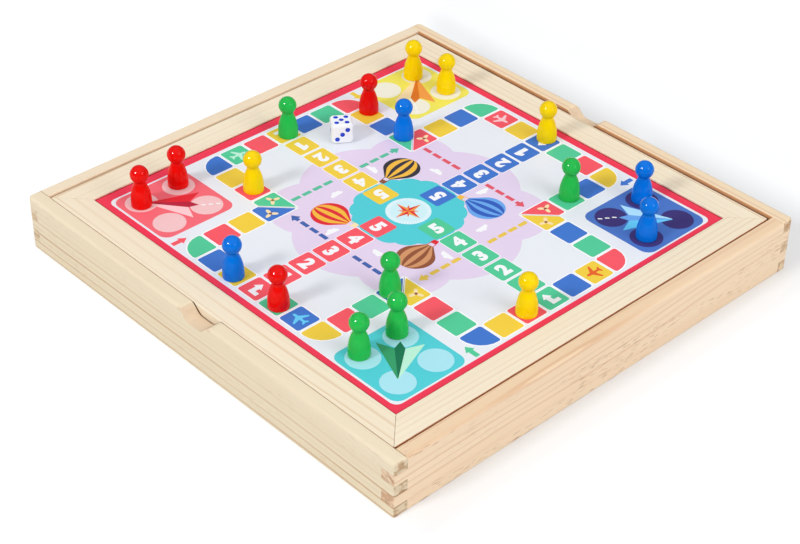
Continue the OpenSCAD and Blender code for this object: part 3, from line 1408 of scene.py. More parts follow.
class Workshop:
    """What every sub-assembly is made with: effects, trees, sizes and inks."""

    def __init__(self) -> None:
        """Builds the shared effects and trees."""
        self.effects = Effects()
        self.stamper = Stamper()
        self.lathe = Lathe()
        self.sizes = WoodSizes.from_frame()
        self.inks: dict[Ink, Material] = {}

    def ink(self, ink: Ink) -> Material:
        """Gives an ink's material, made when it is first asked for."""
        if ink not in self.inks:
            self.inks[ink] = InkFinish(ink).material(self.effects)
        return self.inks[ink]

    @staticmethod
    def dress_node(node: str, material: Material) -> None:
        """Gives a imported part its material.

        Args:
            node: Name of the part.
            material: Its material.
        """
        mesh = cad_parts[node].data
        mesh.materials.clear()
        mesh.materials.append(material)
        LOG.info("%s: dressed in %s", node, material.name)

    def dress_wood(self, node: str, finish: PineFinish) -> None:
        """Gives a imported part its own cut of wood."""
        self.dress_node(node, finish.material(self.effects, self.sizes))

    @staticmethod
    def finish(piece: Object, body: str, slot: str, *nodes: str) -> None:
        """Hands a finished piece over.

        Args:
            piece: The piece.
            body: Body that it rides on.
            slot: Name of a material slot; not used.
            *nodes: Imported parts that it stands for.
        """
        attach(piece, body)
        if nodes:
            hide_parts(*nodes)
        LOG.info("%s: %d faces, rides on %s", piece.name, len(piece.data.polygons), body)


@dataclass
class PineBox:
    """The box: four finger-jointed walls, their ledges and the plywood base."""

    shop: Workshop
    left: Colour = srgb(237, 221, 191)
    left_late: Colour = srgb(204, 164, 124)
    left_end: Colour = srgb(172, 140, 102)
    front: Colour = srgb(243, 217, 185)
    front_late: Colour = srgb(219, 172, 134)
    front_end: Colour = srgb(194, 156, 126)
    front_top: Colour = srgb(250, 245, 239)
    right: Colour = srgb(241, 218, 184)
    back: Colour = srgb(241, 222, 194)
    back_end: Colour = srgb(208, 190, 154)

    # Every wall shows its finger joints and gets painted shade in the lid's gap on its inner face.
    JOINED = {"seam": Seam.FINGERS, "rubbed": Rubbed.INNER_FACE}

    def dress(self) -> None:
        """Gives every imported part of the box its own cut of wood."""
        walls = {
            "left_wall": PineFinish(
                "left_wall_pine", Grain.ALONG_Y, early=self.left, late=self.left_late, end=self.left_end,
                ring_width=3.7, pith=(152.0, -57.6), waver=8.0, lines=1.3, plain_from=22.0, gap_level=1,
                rub_strength=0.15, scooped=True, **self.JOINED,
            ),
            "right_wall": PineFinish(
                "right_wall_pine", Grain.ALONG_Y, early=self.right, late=self.front_late, end=self.left_end,
                ring_width=5.0, pith=(-80.0, 20.0), lines=0.6, gap_level=1, scooped=True, **self.JOINED,
            ),
            "front_wall": PineFinish(
                "front_wall_pine", Grain.ALONG_X, early=self.front, late=self.front_late, end=self.front_end,
                ring_width=3.2, pith=(-118.0, -12.0), waver=13.0, lines=0.6, fleck=0.75, rub_strength=0.2,
                top_tint=self.front_top, **self.JOINED,
            ),
            "back_wall": PineFinish(
                "back_wall_pine", Grain.ALONG_X, early=self.back, late=self.front_late, end=self.back_end,
                ring_width=4.6, pith=(148.0, -70.0), lines=0.7, rub_strength=0.1, **self.JOINED,
            ),
        }
        for node, finish in walls.items():
            self.shop.dress_wood(node, finish)
        for side in ("front", "back", "left", "right"):
            grain = Grain.ALONG_X if side in ("front", "back") else Grain.ALONG_Y
            finish = PineFinish(
                f"{side}_ledge_pine", grain, early=self.right, ring_width=2.6, pith=(25.0, -35.0), fleck=0.1
            )
            self.shop.dress_wood(f"{side}_ledge", finish)
        plywood = PineFinish(
            "base_plywood", Grain.ALONG_X, early=srgb(226, 198, 156), late=srgb(196, 156, 108),
            ring_width=1.4, pith=(10.0, -160.0), waver=40.0, lines=0.9, fleck=0.5,
        )
        self.shop.dress_wood("base_panel", plywood)


@dataclass
class BoardFrame:
    """The mitred frame of the playing board and the panel behind the print."""

    shop: Workshop
    pale: Colour = srgb(243, 229, 203)
    late: Colour = srgb(222, 190, 152)

    def dress(self) -> None:
        """Gives every rail its own cut of wood, and the panel its plywood."""
        # The last number of each cut is the strength of the painted shade on the rail's outer face in the lid's
        # gap.
        cuts = {
            "front_rail": (Grain.ALONG_X, (-205.0, 24.0), 3.3, 0.8),
            "back_rail": (Grain.ALONG_X, (215.0, 20.0), 3.9, 0.3),
            "left_rail": (Grain.ALONG_Y, (70.0, 26.0), 3.6, 0.5),
            "right_rail": (Grain.ALONG_Y, (-220.0, 22.0), 4.2, 0.5),
        }
        for node, (grain, pith, ring_width, rub_strength) in cuts.items():
            finish = PineFinish(
                f"{node}_pine", grain, early=self.pale, late=self.late, ring_width=ring_width, pith=pith,
                lines=1.0, waver=8.0, fleck=0.2, seam=Seam.MITRE, rubbed=Rubbed.OUTER_FACE,
                rub_strength=rub_strength,
            )
            self.shop.dress_wood(node, finish)
        plywood = PineFinish(
            "panel_plywood", Grain.ALONG_Y, early=srgb(222, 194, 152), late=srgb(194, 156, 110),
            ring_width=1.6, pith=(20.0, -140.0), waver=36.0, lines=0.8, fleck=0.4,
        )
        self.shop.dress_wood("board_panel", plywood)


@dataclass
class PrintedFace:
    """The laminated print, in millimetres: sheet, border, track, home lanes, bases and the middle."""

    shop: Workshop
    drawn_side: float = 248.4
    steps_across: float = 14.53
    offset: Point = (-0.4, -1.1)
    crooked: float = -0.16
    layer_height: float = 0.015
    # Painted shade along the border's outer edge: how far it reaches under the rails, and how wide it shows on
    # the near and far sides.
    tucked: float = 1.0
    near_edge: float = 1.1
    far_edge: float = 0.5
    field_sides: Point = (238.2, 237.3)
    field_middle: Point = (0.2, 0.1)
    field_corner: float = 4.5
    tile: float = 15.3
    tile_corner: float = 1.5
    corner_gap: float = 0.9
    edging: float = 0.75
    lane_edging: float = 0.45
    outer_corner: float = 13.2
    last_row: float = 6.33
    track_column: int = 3
    base_place: float = 92.6
    base_side: float = 49.8
    base_corner: float = 6.2
    spot_place: float = 12.9
    spot_radius: float = 9.3
    pieces: dict[str, list[Mesh]] = field(default_factory=dict)

    TRACK_INKS = [Ink.TILE_BLUE, Ink.TILE_GREEN, Ink.TILE_RED, Ink.TILE_YELLOW]
    TRACK_NAMES = ["blue", "green", "red", "yellow"]
    TILES_PER_QUARTER = 13
    LANE_INKS = [Ink.TILE_YELLOW, Ink.TILE_BLUE, Ink.TILE_GREEN, Ink.TILE_RED]
    FLIGHT_INKS = {
        "green": Ink.DASH_GREEN, "red": Ink.DASH_RED, "yellow": Ink.DASH_YELLOW, "blue": Ink.DASH_BLUE
    }
    START_INKS = [Ink.TILE_RED, Ink.TILE_YELLOW, Ink.TILE_BLUE, Ink.TILE_GREEN]
    ICON_INKS = [Ink.ICON_MINT, Ink.ICON_PINK, Ink.ICON_ORANGE, Ink.ICON_SKY]
    BASE_INKS = [Ink.BASE_RED, Ink.BASE_YELLOW, Ink.BASE_BLUE, Ink.TURQUOISE]
    SPOT_INKS = [Ink.SPOT_PINK, Ink.SPOT_CREAM, Ink.SPOT_PLUM, Ink.SPOT_ICE]
    SEATS = ["red", "yellow", "blue", "turquoise"]
    DART_INKS = [
        (Ink.DEEP_RED, Ink.ICON_PINK, Ink.STRONG_RED),
        (Ink.DEEP_ORANGE, Ink.CREAM, Ink.ORANGE),
        (Ink.SKY, Ink.PALE_SKY, Ink.ICON_SKY),
        (Ink.DEEP_LEAF, Ink.ICON_MINT, Ink.LEAF),
    ]
    BALLOON_INKS = [
        (Ink.STRONG_RED, Ink.GOLD, Ink.CREAM),
        (Ink.CHARCOAL, Ink.GOLD, Ink.COCOA),
        (Ink.SKY, Ink.STRONG_BLUE, Ink.GOLD),
        (Ink.COCOA, Ink.TAN, Ink.STRONG_RED),
    ]

    def __post_init__(self) -> None:
        """Reads the print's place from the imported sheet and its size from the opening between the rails."""
        low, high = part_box("printed_sheet")
        self.low = low
        self.high = high
        self.middle = Vector(((low.x + high.x) / 2, (low.y + high.y) / 2, 0.0))
        opening = (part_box("right_rail")[0].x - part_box("left_rail")[1].x) / MM
        self.scale = opening / self.drawn_side
        self.step = self.drawn_side / self.steps_across

    def top(self, layer: Layer) -> float:
        """Gives the upper side of a layer, in metres; the last layer is the CAD face."""
        return self.high.z - (Layer.DETAIL - layer) * self.layer_height * MM

    def build(self) -> None:
        """Prints everything and hands the pieces over."""
        self._sheet()
        self._ground()
        self._track()
        self._lanes()
        self._flights()
        self._starts()
        self._bases()
        self._middle()
        self._hand_over()

    def _print(
        self, piece: str, ink: Ink, layer: Layer, shape: Outline | Mesh, spots: list[Spot],
        shifted: bool = True,
    ) -> None:
        """Stamps an outline or a ready plate at spots, as a part of a named piece.

        Args:
            piece: Name of the piece.
            ink: Its ink.
            layer: Its layer.
            shape: Outline in millimetres of the drawing, or the plate.
            spots: Where it goes.
            shifted: True where it moves with the print's own small offset.
        """
        if isinstance(shape, list):
            low = self.top(Layer.SHEET) - self.layer_height * MM / 2
            shape = prism(piece, [(x * self.scale, y * self.scale) for x, y in shape], low, self.top(layer))
        offset, crooked = (self.offset, self.crooked) if shifted else ((0.0, 0.0), 0.0)
        places = []
        for spot in spots:
            x, y = turned((spot.x, spot.y), crooked)
            drawn = Vector((x + offset[0], y + offset[1], 0.0))
            turn = Vector((0.0, 0.0, math.radians(spot.turn + crooked)))
            places.append((drawn * self.scale * MM + self.middle, turn))
        mesh = self.shop.stamper.stamp(piece, shape, places, self.shop.ink(ink))
        self.pieces.setdefault(piece, []).append(mesh)

    def _hand_over(self) -> None:
        """Joins the stamps of each piece and hands it over."""
        for name, meshes in self.pieces.items():
            joined = bmesh.new()
            for mesh in meshes:
                joined.from_mesh(mesh)
            whole = bpy.data.meshes.new(name)
            joined.to_mesh(whole)
            joined.free()
            whole.materials.append(meshes[0].materials[0])
            replaced = ("printed_sheet",) if name == "print_sheet" else ()
            self.shop.finish(linked(name, whole), "board", "laminated_print", *replaced)

    def _sheet(self) -> None:
        """The sheet itself, the red border with painted shade of the rails along its outer edge, and the pale
        field inside it.
        """
        side = (self.high.x - self.low.x) / MM
        shape = prism("print_sheet", rectangle(side, side), self.low.z, self.top(Layer.SHEET))
        self._print("print_sheet", Ink.SHEET_WHITE, Layer.SHEET, shape, HERE, shifted=False)
        # Painted shade of the rails: a dark band under the border, left showing along its outer edge.
        outer = self.drawn_side + self.tucked
        edge = rectangle(outer, outer)
        self._print("print_border_edge", Ink.BORDER_DARK, Layer.OUTER_EDGE, edge, HERE, shifted=False)
        lit = self.drawn_side - self.near_edge - self.far_edge
        aside = (self.near_edge - self.far_edge) / 2
        band = rectangle(lit, lit, middle=(aside, aside))
        self._print("print_border", Ink.BORDER_RED, Layer.BORDER, band, HERE, shifted=False)
        field_outline = rectangle(*self.field_sides, self.field_corner, self.field_middle)
        self._print("print_field", Ink.FIELD_WHITE, Layer.FIELD, field_outline, HERE)

    def _ground(self) -> None:
        """The lilac flower behind the middle of the board."""
        cusp, cusp_angle = 67.4, 23.9
        straight_tip, corner_tip = 73.1, 79.0
        straight_swell = straight_tip - cusp * math.cos(math.radians(cusp_angle))
        corner_swell = corner_tip - cusp * math.cos(math.radians(45.0 - cusp_angle))
        cusps: Outline = []
        swells: list[float] = []
        for number in ALL_QUARTERS:
            for angle, swell in ((-cusp_angle, straight_swell), (cusp_angle, corner_swell)):
                cusps.append(turned((cusp, 0.0), 90.0 * number + angle))
                swells.append(swell)
        self._print("print_flower", Ink.LILAC, Layer.GROUND, lobed(cusps, swells), HERE)

    def _tile(self, grown: float = 0.0, outer: float = 0.0) -> Outline:
        """The outline of a track tile.

        Args:
            grown: How much larger it is on every side.
            outer: Radius of the upper left corner, where it is the end of an arm.

        Returns:
            The outline.
        """
        radius = self.tile_corner + grown
        side = self.tile + 2 * grown
        return rectangle(side, side, [radius, radius, radius, max(outer + grown, radius)])

    def _corner_tiles(self, grown: float = 0.0) -> tuple[Outline, Outline]:
        """The two halved tiles at an inner corner of the track, in the first quarter.

        Args:
            grown: How much larger they are on every side.

        Returns:
            The tile on the upper arm and the tile on the side arm.
        """
        inner = self.track_column * self.step - self.tile / 2 - grown
        outer = self.track_column * self.step + self.tile / 2 + grown
        top = (self.track_column + self.last_row % 1.0) * self.step + self.tile / 2 + grown
        gap = self.corner_gap - grown * math.sqrt(2.0)
        upper = [(inner, inner + gap), (outer, outer + gap), (outer, top), (inner, top)]
        side = [(y, x) for x, y in reversed(upper)]
        radii = [0.5, 0.9, 1.4, 1.4]
        return rounded(upper, radii), rounded(side, radii[::-1])

    def _track(self) -> None:
        """The fifty-two tiles of the track, with their white edging, airliners and propellers."""
        row = self.last_row
        column = self.track_column
        straight = {1: (-2, row), 2: (-1, row), 3: (0, row), 4: (1, row), 5: (2, row), 7: (column, row - 1),
                    8: (column, row - 2), 11: (row - 2, column), 12: (row - 1, column)}
        ends = {0: (-column, row, 0), 6: (column, row, 1)}
        plain: dict[int, list[Spot]] = {number: [] for number in range(4)}
        ended: dict[int, list[Spot]] = {number: [] for number in range(4)}
        for quarter in ALL_QUARTERS:
            first = quarter * self.TILES_PER_QUARTER
            for index, (x, y) in straight.items():
                plain[(first + index) % 4].append(Spot(x * self.step, y * self.step).quarter(quarter))
            for index, (x, y, turns) in ends.items():
                spot = Spot(x * self.step, y * self.step, QUARTER_TURN * turns)
                ended[(first + index) % 4].append(spot.quarter(quarter))
        quarters = everywhere(*HERE)
        upper_index, side_index = 9, 10
        halves = self._corner_tiles()
        for number, (ink, name) in enumerate(zip(self.TRACK_INKS, self.TRACK_NAMES)):
            piece = f"track_tiles_{name}"
            self._print(piece, ink, Layer.TILE, self._tile(), plain[number])
            self._print(piece, ink, Layer.TILE, self._tile(outer=self.outer_corner), ended[number])
            for index, outline in zip((upper_index, side_index), halves):
                spots = []
                for quarter, spot in enumerate(quarters):
                    if (quarter * self.TILES_PER_QUARTER + index) % 4 == number:
                        spots.append(spot)
                self._print(piece, ink, Layer.TILE, outline, spots)
        every_plain = [spot for spots in plain.values() for spot in spots]
        every_end = [spot for spots in ended.values() for spot in spots]
        grown = self.edging
        edged = [(self._tile(grown), every_plain), (self._tile(grown, self.outer_corner), every_end)]
        edged += [(outline, quarters) for outline in self._corner_tiles(grown)]
        for outline, spots in edged:
            self._print("track_edging", Ink.EDGE_WHITE, Layer.EDGING, outline, spots)
        for quarter, ink in enumerate(self.ICON_INKS):
            spot = Spot(straight[1][0] * self.step, straight[1][1] * self.step, QUARTER_TURN)
            name = f"track_icon_{self.TRACK_NAMES[(quarter * self.TILES_PER_QUARTER + 1) % 4]}"
            self._print(name, ink, Layer.MARK, self._airliner(), [spot.quarter(quarter)])
        self._propellers()

    @staticmethod
    def _airliner() -> Outline:
        """A plain airliner seen from above, with its nose up.

        Returns:
            The outline.
        """
        right = [(0.0, -4.6), (2.1, -5.2), (2.1, -4.3), (0.75, -3.1), (0.85, -0.6), (5.4, -1.9), (5.4, -0.7),
                 (0.95, 2.2), (0.9, 4.2)]
        left = [(-x, y) for x, y in reversed(right[1:])]
        nose = [(0.0, 5.6)]
        radii = [0.2] + [0.35] * (len(right) - 1) + [0.3] + [0.35] * len(left)
        return rounded(right + nose + left, radii, 3)

    def _propellers(self) -> None:
        """A small propeller on each halved tile."""
        near = self.track_column * self.step - 2.0
        far = self.track_column * self.step + 7.4
        upper, side = Spot(near, far), Spot(far, near, QUARTER_TURN)
        spots = everywhere(upper, side)
        blades, lean, hub = 3, 20.0, 0.95
        blade_middle, blade_half, slender = 2.3, 1.15, 1.9
        blade = [(x, y + blade_middle) for x, y in disc(blade_half, 20, slender)]
        for number in range(blades):
            turn = 360.0 / blades * number + lean
            turned_spots = [Spot(spot.x, spot.y, spot.turn + turn) for spot in spots]
            self._print("track_propellers", Ink.CREAM, Layer.MARK, blade, turned_spots)
        self._print("track_propeller_hubs", Ink.COCOA, Layer.DETAIL, disc(hub, 20), spots)

    def _lanes(self) -> None:
        """The four home lanes with their numerals and bent arrows."""
        low = self.top(Layer.SHEET)
        count = 5
        size, weight = 9.7 * self.scale, 0.06
        high = self.top(Layer.MARK)
        numerals = {n: numeral(str(n), size, weight, low, high) for n in range(2, count + 1)}
        one = [(-0.6, -4.7), (2.5, -4.7), (2.5, 4.7), (0.4, 4.7), (-2.6, 3.1), (-2.6, 0.4), (-0.6, 0.9)]
        bent = [(-2.2, -4.9), (4.1, -4.9), (4.1, -2.1), (0.8, -2.1), (0.8, 0.6), (2.4, 0.6), (-0.8, 4.7),
                (-4.0, 0.6), (-2.2, 0.6)]
        edged: list[Spot] = []
        for quarter, ink in enumerate(self.LANE_INKS):
            name = self.TRACK_NAMES[self.TRACK_INKS.index(ink)]
            rows = [(self.last_row - n) * self.step for n in range(count + 1)]
            entry, *places = [Spot(0.0, row, 180.0).quarter(quarter) for row in rows]
            edged += places
            self._print(f"lane_tiles_{name}", ink, Layer.TILE, self._tile(), places)
            self._print("lane_numerals", Ink.MARK_WHITE, Layer.MARK, rounded(one, 0.2, 3), places[:1])
            for shape, place in zip(numerals.values(), places[1:]):
                self._print("lane_numerals", Ink.MARK_WHITE, Layer.MARK, shape.copy(), [place])
            self._print("lane_arrows", Ink.MARK_WHITE, Layer.MARK, rounded(bent, 0.25, 3), [entry])
        outer = [spot for spot in edged if math.hypot(spot.x, spot.y) > 2 * self.step]
        self._print("track_edging", Ink.EDGE_WHITE, Layer.EDGING, self._tile(self.lane_edging), outer)

    def _flights(self) -> None:
        """The dashed flight arrows between the halved tiles."""
        dash, gap, thick = 6.1, 1.8, 2.6
        first, second, end = -41.4, 9.9, 40.3
        arrow = 6.6
        row = self.track_column * self.step
        dashes = [Spot(first + dash / 2 + (dash + gap) * n, row) for n in range(4)]
        dashes += [Spot(second + dash / 2 + (dash + gap) * n, row) for n in range(3)]
        tip = Spot(end - arrow / 2, row)
        outline = rectangle(dash, thick, 0.3)
        head = straight_arrow(length=arrow, width=6.4, shaft=thick, head=4.6)
        for quarter, (name, ink) in enumerate(self.FLIGHT_INKS.items()):
            piece = f"flight_{name}"
            self._print(piece, ink, Layer.TILE, outline, [spot.quarter(quarter) for spot in dashes])
            self._print(piece, ink, Layer.TILE, head, [tip.quarter(quarter)])

    def _starts(self) -> None:
        """The start arrow beside each base."""
        place = Spot(-112.4, 61.7)
        outline = straight_arrow(length=9.8, width=6.2, shaft=3.0, head=4.4)
        for quarter, ink in enumerate(self.START_INKS):
            self._print(f"start_{self.SEATS[quarter]}", ink, Layer.TILE, outline, [place.quarter(quarter)])

    def _bases(self) -> None:
        """The four bases with their standing spots and a paper dart in each."""
        middle = Spot(-self.base_place, self.base_place)
        reach = self.spot_place
        corners = [(-reach, -reach), (reach, -reach), (reach, reach), (-reach, reach)]
        for quarter, seat in enumerate(self.SEATS):
            base = middle.quarter(quarter)
            outline = rectangle(self.base_side, self.base_side, self.base_corner)
            self._print(f"base_{seat}", self.BASE_INKS[quarter], Layer.GROUND, outline, [base])
            spots = [Spot(base.x + x, base.y + y) for x, y in corners]
            circle = disc(self.spot_radius, 48)
            self._print(f"base_spots_{seat}", self.SPOT_INKS[quarter], Layer.EDGING, circle, spots)
            flying = Spot(base.x, base.y, 45.0 + QUARTER_TURN * quarter)
            self._dart(seat, flying, self.DART_INKS[quarter])

    def _dart(self, seat: str, spot: Spot, inks: tuple[Ink, Ink, Ink]) -> None:
        """A folded paper dart, nose outwards, with a dashed trail.

        Args:
            seat: Name of the base.
            spot: Where it flies.
            inks: Its dark, light and middle ink.
        """
        dark, light, middle = inks
        nose, keel = (0.0, 16.5), (0.0, -14.0)
        left_tip, left_fold, right_fold, right_tip = (-12.5, -12.5), (-2.8, -8.4), (2.8, -8.4), (12.5, -12.5)
        folds = {
            "left": (light, [nose, left_tip, left_fold]),
            "right": (middle, [nose, right_fold, right_tip]),
            "keel": (dark, [nose, left_fold, keel, right_fold]),
        }
        for part, (ink, corners) in folds.items():
            self._print(f"dart_{seat}_{part}", ink, Layer.MARK, rounded(corners, 0.15, 2), [spot])
        trail = []
        for place in ((0.0, -16.5), (0.9, -20.5), (1.8, -24.5)):
            x, y = turned(place, spot.turn)
            trail.append(Spot(spot.x + x, spot.y + y, spot.turn + 90.0))
        dash = rectangle(width=2.6, height=1.0, radii=0.4)
        self._print(f"dart_{seat}_trail", Ink.MARK_WHITE, Layer.MARK, dash, trail)

    def _middle(self) -> None:
        """The scalloped medallion, the compass rose on it and four balloons round it."""
        lobes, cusp_radius, swell = 16, 31.4, 2.2
        cusps = [turned((cusp_radius, 0.0), 360.0 / lobes * (n - 0.5)) for n in range(lobes)]
        self._print("medallion", Ink.TURQUOISE, Layer.MEDALLION, lobed(cusps, [swell] * lobes, 8), HERE)
        self._print("medallion_disc", Ink.ICE, Layer.TILE, disc(radius=12.9, steps=96), HERE)
        ticks, tick_radius = 48, 11.5
        tick_spots = []
        for number in range(ticks):
            angle = 360.0 / ticks * number
            x, y = turned((tick_radius, 0.0), angle)
            tick_spots.append(Spot(x, y, angle))
        tick = rectangle(width=2.2, height=0.45)
        self._print("medallion_ticks", Ink.MARK_WHITE, Layer.MARK, tick, tick_spots)
        for piece, ink, side in (("rose_light", Ink.ORANGE, 1.0), ("rose_dark", Ink.STRONG_RED, -1.0)):
            long_half = [(0.0, 0.0), (1.9 * side, 1.9), (0.0, 9.6)]
            short_half = [(0.0, 0.0), (0.9 * side, 2.6), (0.0, 6.0)]
            for half, layer, turn in ((long_half, Layer.DETAIL, 0.0), (short_half, Layer.MARK, 45.0)):
                outline = half if side > 0.0 else half[::-1]
                spots = [Spot(0.0, 0.0, turn + 90.0 * n) for n in ALL_QUARTERS]
                self._print(piece, ink, layer, outline, spots)
        place = Spot(-34.5, 27.0, 10.0)
        for quarter, inks in enumerate(self.BALLOON_INKS):
            self._balloon(f"balloon_{quarter + 1}", place.quarter(quarter), inks)
        for cloud in (Spot(-19.0, 39.5, 4.0), Spot(-45.0, 13.6, -4.0)):
            self._print("clouds", Ink.MARK_WHITE, Layer.MARK, self._cloud(), everywhere(cloud))

    @staticmethod
    def _cloud() -> Outline:
        """A small flat-bottomed cloud."""
        cusps = [(-4.0, -1.5), (4.0, -1.5), (3.6, 0.6), (1.3, 1.5), (-1.9, 0.9)]
        return lobed(cusps, [0.05, 0.9, 0.8, 1.3, 1.0], 8)

    def _balloon(self, name: str, spot: Spot, inks: tuple[Ink, Ink, Ink]) -> None:
        """A striped balloon with its basket.

        Args:
            name: Start of the pieces' names.
            spot: Where it floats, with its top along +Y before the turn.
            inks: Inks of the envelope, of its stripes and of its band and basket.
        """
        envelope_ink, stripe_ink, band_ink = inks
        radius, mouth, mouth_y = 10.8, 2.2, -13.4
        joint = -radius * 0.55
        top, low, half, foot = -16.0, -19.4, 2.1, 1.68
        rope_width, rope_inset = 0.4, 0.25

        def half_width(y: float) -> float:
            """Half the envelope's width at a height."""
            if y >= joint:
                return math.sqrt(max(radius * radius - y * y, 0.0))
            waist = math.sqrt(radius * radius - joint * joint)
            return mouth + (waist - mouth) * (y - mouth_y) / (joint - mouth_y)

        def gore(left: float, right: float) -> Outline:
            """A stripe between two shares of the envelope's half width."""
            steps = 22
            heights = []
            for step in range(steps + 1):
                share = (1.0 - math.cos(math.pi * step / steps)) / 2
                heights.append(mouth_y + (radius - mouth_y) * share)
            up = [(right * half_width(y), y) for y in heights]
            down = [(left * half_width(y), y) for y in reversed(heights)]
            return up + down[1:]

        self._print(f"{name}_envelope", envelope_ink, Layer.MARK, gore(-1.0, 1.0), [spot])
        for left, right in ((-0.72, -0.4), (-0.14, 0.14), (0.4, 0.72)):
            self._print(f"{name}_stripes", stripe_ink, Layer.DETAIL, gore(left, right), [spot])
        corners = [(-foot, low), (foot, low), (half, top), (-half, top)]
        self._print(f"{name}_basket", band_ink, Layer.MARK, rounded(corners, 0.4, 4), [spot])
        for side in (-1.0, 1.0):
            middle = (side * (half - rope_inset), (top + mouth_y) / 2)
            rope = rectangle(rope_width, mouth_y - top + rope_width, 0.0, middle)
            self._print(f"{name}_basket", band_ink, Layer.MARK, rope, [spot])


@dataclass
class PawnSet:
    """Eighteen turned pawns in four colours, with sizes in millimetres."""

    shop: Workshop
    height: float = 25.6
    head: float = 10.6
    neck: float = 6.7
    shoulder_height: float = 14.5
    belly: float = 11.9
    belly_height: float = 2.8
    foot_round: float = 0.5
    sides: int = 72

    FINISHES = {
        "red": LacquerFinish("red_pawn_lacquer", srgb(236, 12, 6), srgb(228, 8, 4)),
        "yellow": LacquerFinish("yellow_pawn_lacquer", srgb(252, 216, 0), srgb(249, 209, 0)),
        "blue": LacquerFinish("blue_pawn_lacquer", srgb(0, 118, 226), srgb(0, 112, 219)),
        "green": LacquerFinish("green_pawn_lacquer", srgb(40, 190, 80), srgb(34, 183, 75)),
    }

    def profile(self) -> Outline:
        """The turned profile from the middle of the foot to the top of the head.

        Returns:
            Radius and height of each point, in millimetres.
        """
        drop = (self.belly - self.neck) / 2
        rise = self.shoulder_height - self.belly_height
        sweep = (drop * drop + rise * rise) / (2 * drop)
        body = (self.belly / 2 - sweep, self.belly_height)
        foot_x = self.belly / 2 - self.foot_round
        shoulder = math.degrees(math.asin(rise / sweep))
        head_radius = self.head / 2
        head = (0.0, self.height - head_radius)
        chin = -math.degrees(math.acos(self.neck / self.head))
        points = [(0.0, 0.0), (foot_x / 2, 0.0)]
        points += arc((foot_x, self.foot_round), self.foot_round, -90.0, 0.0, steps=6)
        points += arc(body, sweep, 0.0, shoulder, steps=36)
        ball = arc(head, head_radius, chin, 90.0, steps=40)
        points.append((self.neck / 2, (points[-1][1] + ball[0][1]) / 2))
        points += ball[:-1]
        points.append((0.0, self.height))
        return points

    def build(self) -> None:
        """Turns every pawn that the frame has and hands it over."""
        finishes = {colour: finish.material(self.shop.effects) for colour, finish in self.FINISHES.items()}
        profile = self.profile()
        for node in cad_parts:
            if "_pawn_" not in node:
                continue
            colour = node.split("_")[0]
            low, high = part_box(node)
            spot = Vector(((low.x + high.x) / 2, (low.y + high.y) / 2, low.z))
            mesh = self.shop.lathe.turn(f"turned_{node}", profile, self.sides, spot, finishes[colour])
            self.shop.finish(linked(f"turned_{node}", mesh), node, f"{colour}_lacquer", node)


@dataclass
class GameDie:
    """The white die and the paint in its pips, with sizes in millimetres."""

    shop: Workshop
    pip: float = 2.9
    pip_depth: float = 0.5
    pip_step: float = 3.05
    paint: float = 0.03
    turn: float = -35.0
    side: float = 12.8

    WHITE = LacquerFinish(
        "die_white_plastic", srgb(246, 246, 250), srgb(241, 242, 248), side_coat=0.3, top_coat=0.4, peel=0.02
    )
    BLUE = LacquerFinish(
        "pip_blue_paint", srgb(34, 74, 214), srgb(22, 56, 198), side_coat=0.4, top_coat=0.6, peel=0.02
    )
    CORNERS = [(-1, -1), (1, 1), (-1, 1), (1, -1)]
    SIDES = [(-1, 0), (1, 0)]
    PATTERNS = {1: [(0, 0)], 2: CORNERS[:2], 3: CORNERS[:2] + [(0, 0)], 4: CORNERS, 5: CORNERS + [(0, 0)],
                6: CORNERS + SIDES}
    FACES = {5: (0.0, 0.0, 0.0), 2: (180.0, 0.0, 0.0), 3: (90.0, 0.0, 0.0), 4: (-90.0, 0.0, 0.0),
             1: (0.0, -90.0, 0.0), 6: (0.0, 90.0, 0.0)}

    def build(self) -> None:
        """Dresses the die and paints its pips."""
        self.shop.dress_node("die", self.WHITE.material(self.shop.effects))
        low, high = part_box("die")
        middle = (low + high) / 2
        places = []
        turn = Matrix.Rotation(math.radians(self.turn), 4, "Z")
        for value, angles in self.FACES.items():
            facing = Matrix.Identity(4)
            for axis, angle in zip("XYZ", angles):
                facing = Matrix.Rotation(math.radians(angle), 4, axis) @ facing
            facing = turn @ facing
            for x, y in self.PATTERNS[value]:
                local = Vector((x * self.pip_step * MM, y * self.pip_step * MM, self.side / 2 * MM))
                places.append((middle + facing @ local, Vector(facing.to_euler())))
        paint = self.BLUE.material(self.shop.effects)
        mesh = self.shop.stamper.stamp("die_pips", self._drop(paint), places, paint)
        self.shop.finish(linked("die_pips", mesh), "die", "die_white")

    def _drop(self, paint: Material) -> Mesh:
        """Turns the thin film of paint in one dimple: a dished top on a ball-shaped underside.

        Args:
            paint: Its material.

        Returns:
            The closed mesh, with the rim at the origin's height.
        """
        rim = self.pip / 2
        rings, sides = 6, 24
        films = []
        for depth in (self.pip_depth + self.paint, self.pip_depth - self.paint):
            radius = (rim * rim + depth * depth) / (2 * depth)
            reaches = [rim * ring / rings for ring in range(rings + 1)]
            films.append([(x, radius - depth - math.sqrt(radius * radius - x * x)) for x in reaches])
        under, top = films
        return self.shop.lathe.turn("pip_paint", under + top[-2::-1], sides, Vector(), paint)


@dataclass(frozen=True)
class Softbox:
    """A soft lamp that faces the board; level is the brightness that it gives a white surface."""

    name: str
    direction: Triple
    size: float
    level: float
    diffuse: bool = True
    glossy: bool = True

    AWAY = 6.0
    AIM = (0.0, 0.0, 0.03)

    def hang(self) -> None:
        """Hangs the lamp out of the camera's sight."""
        lamp = bpy.data.lights.new(self.name, "AREA")
        lamp.shape = "DISK"
        lamp.size = self.size
        lamp.energy = self.level * math.pi ** 2 * self.AWAY ** 2
        holder = linked(self.name, lamp)
        out = Vector(self.direction).normalized()
        holder.location = Vector(self.AIM) + out * self.AWAY
        holder.rotation_euler = (-out).to_track_quat("-Z", "Y").to_euler()
        holder.visible_camera = False
        holder.visible_diffuse = self.diffuse
        holder.visible_glossy = self.glossy


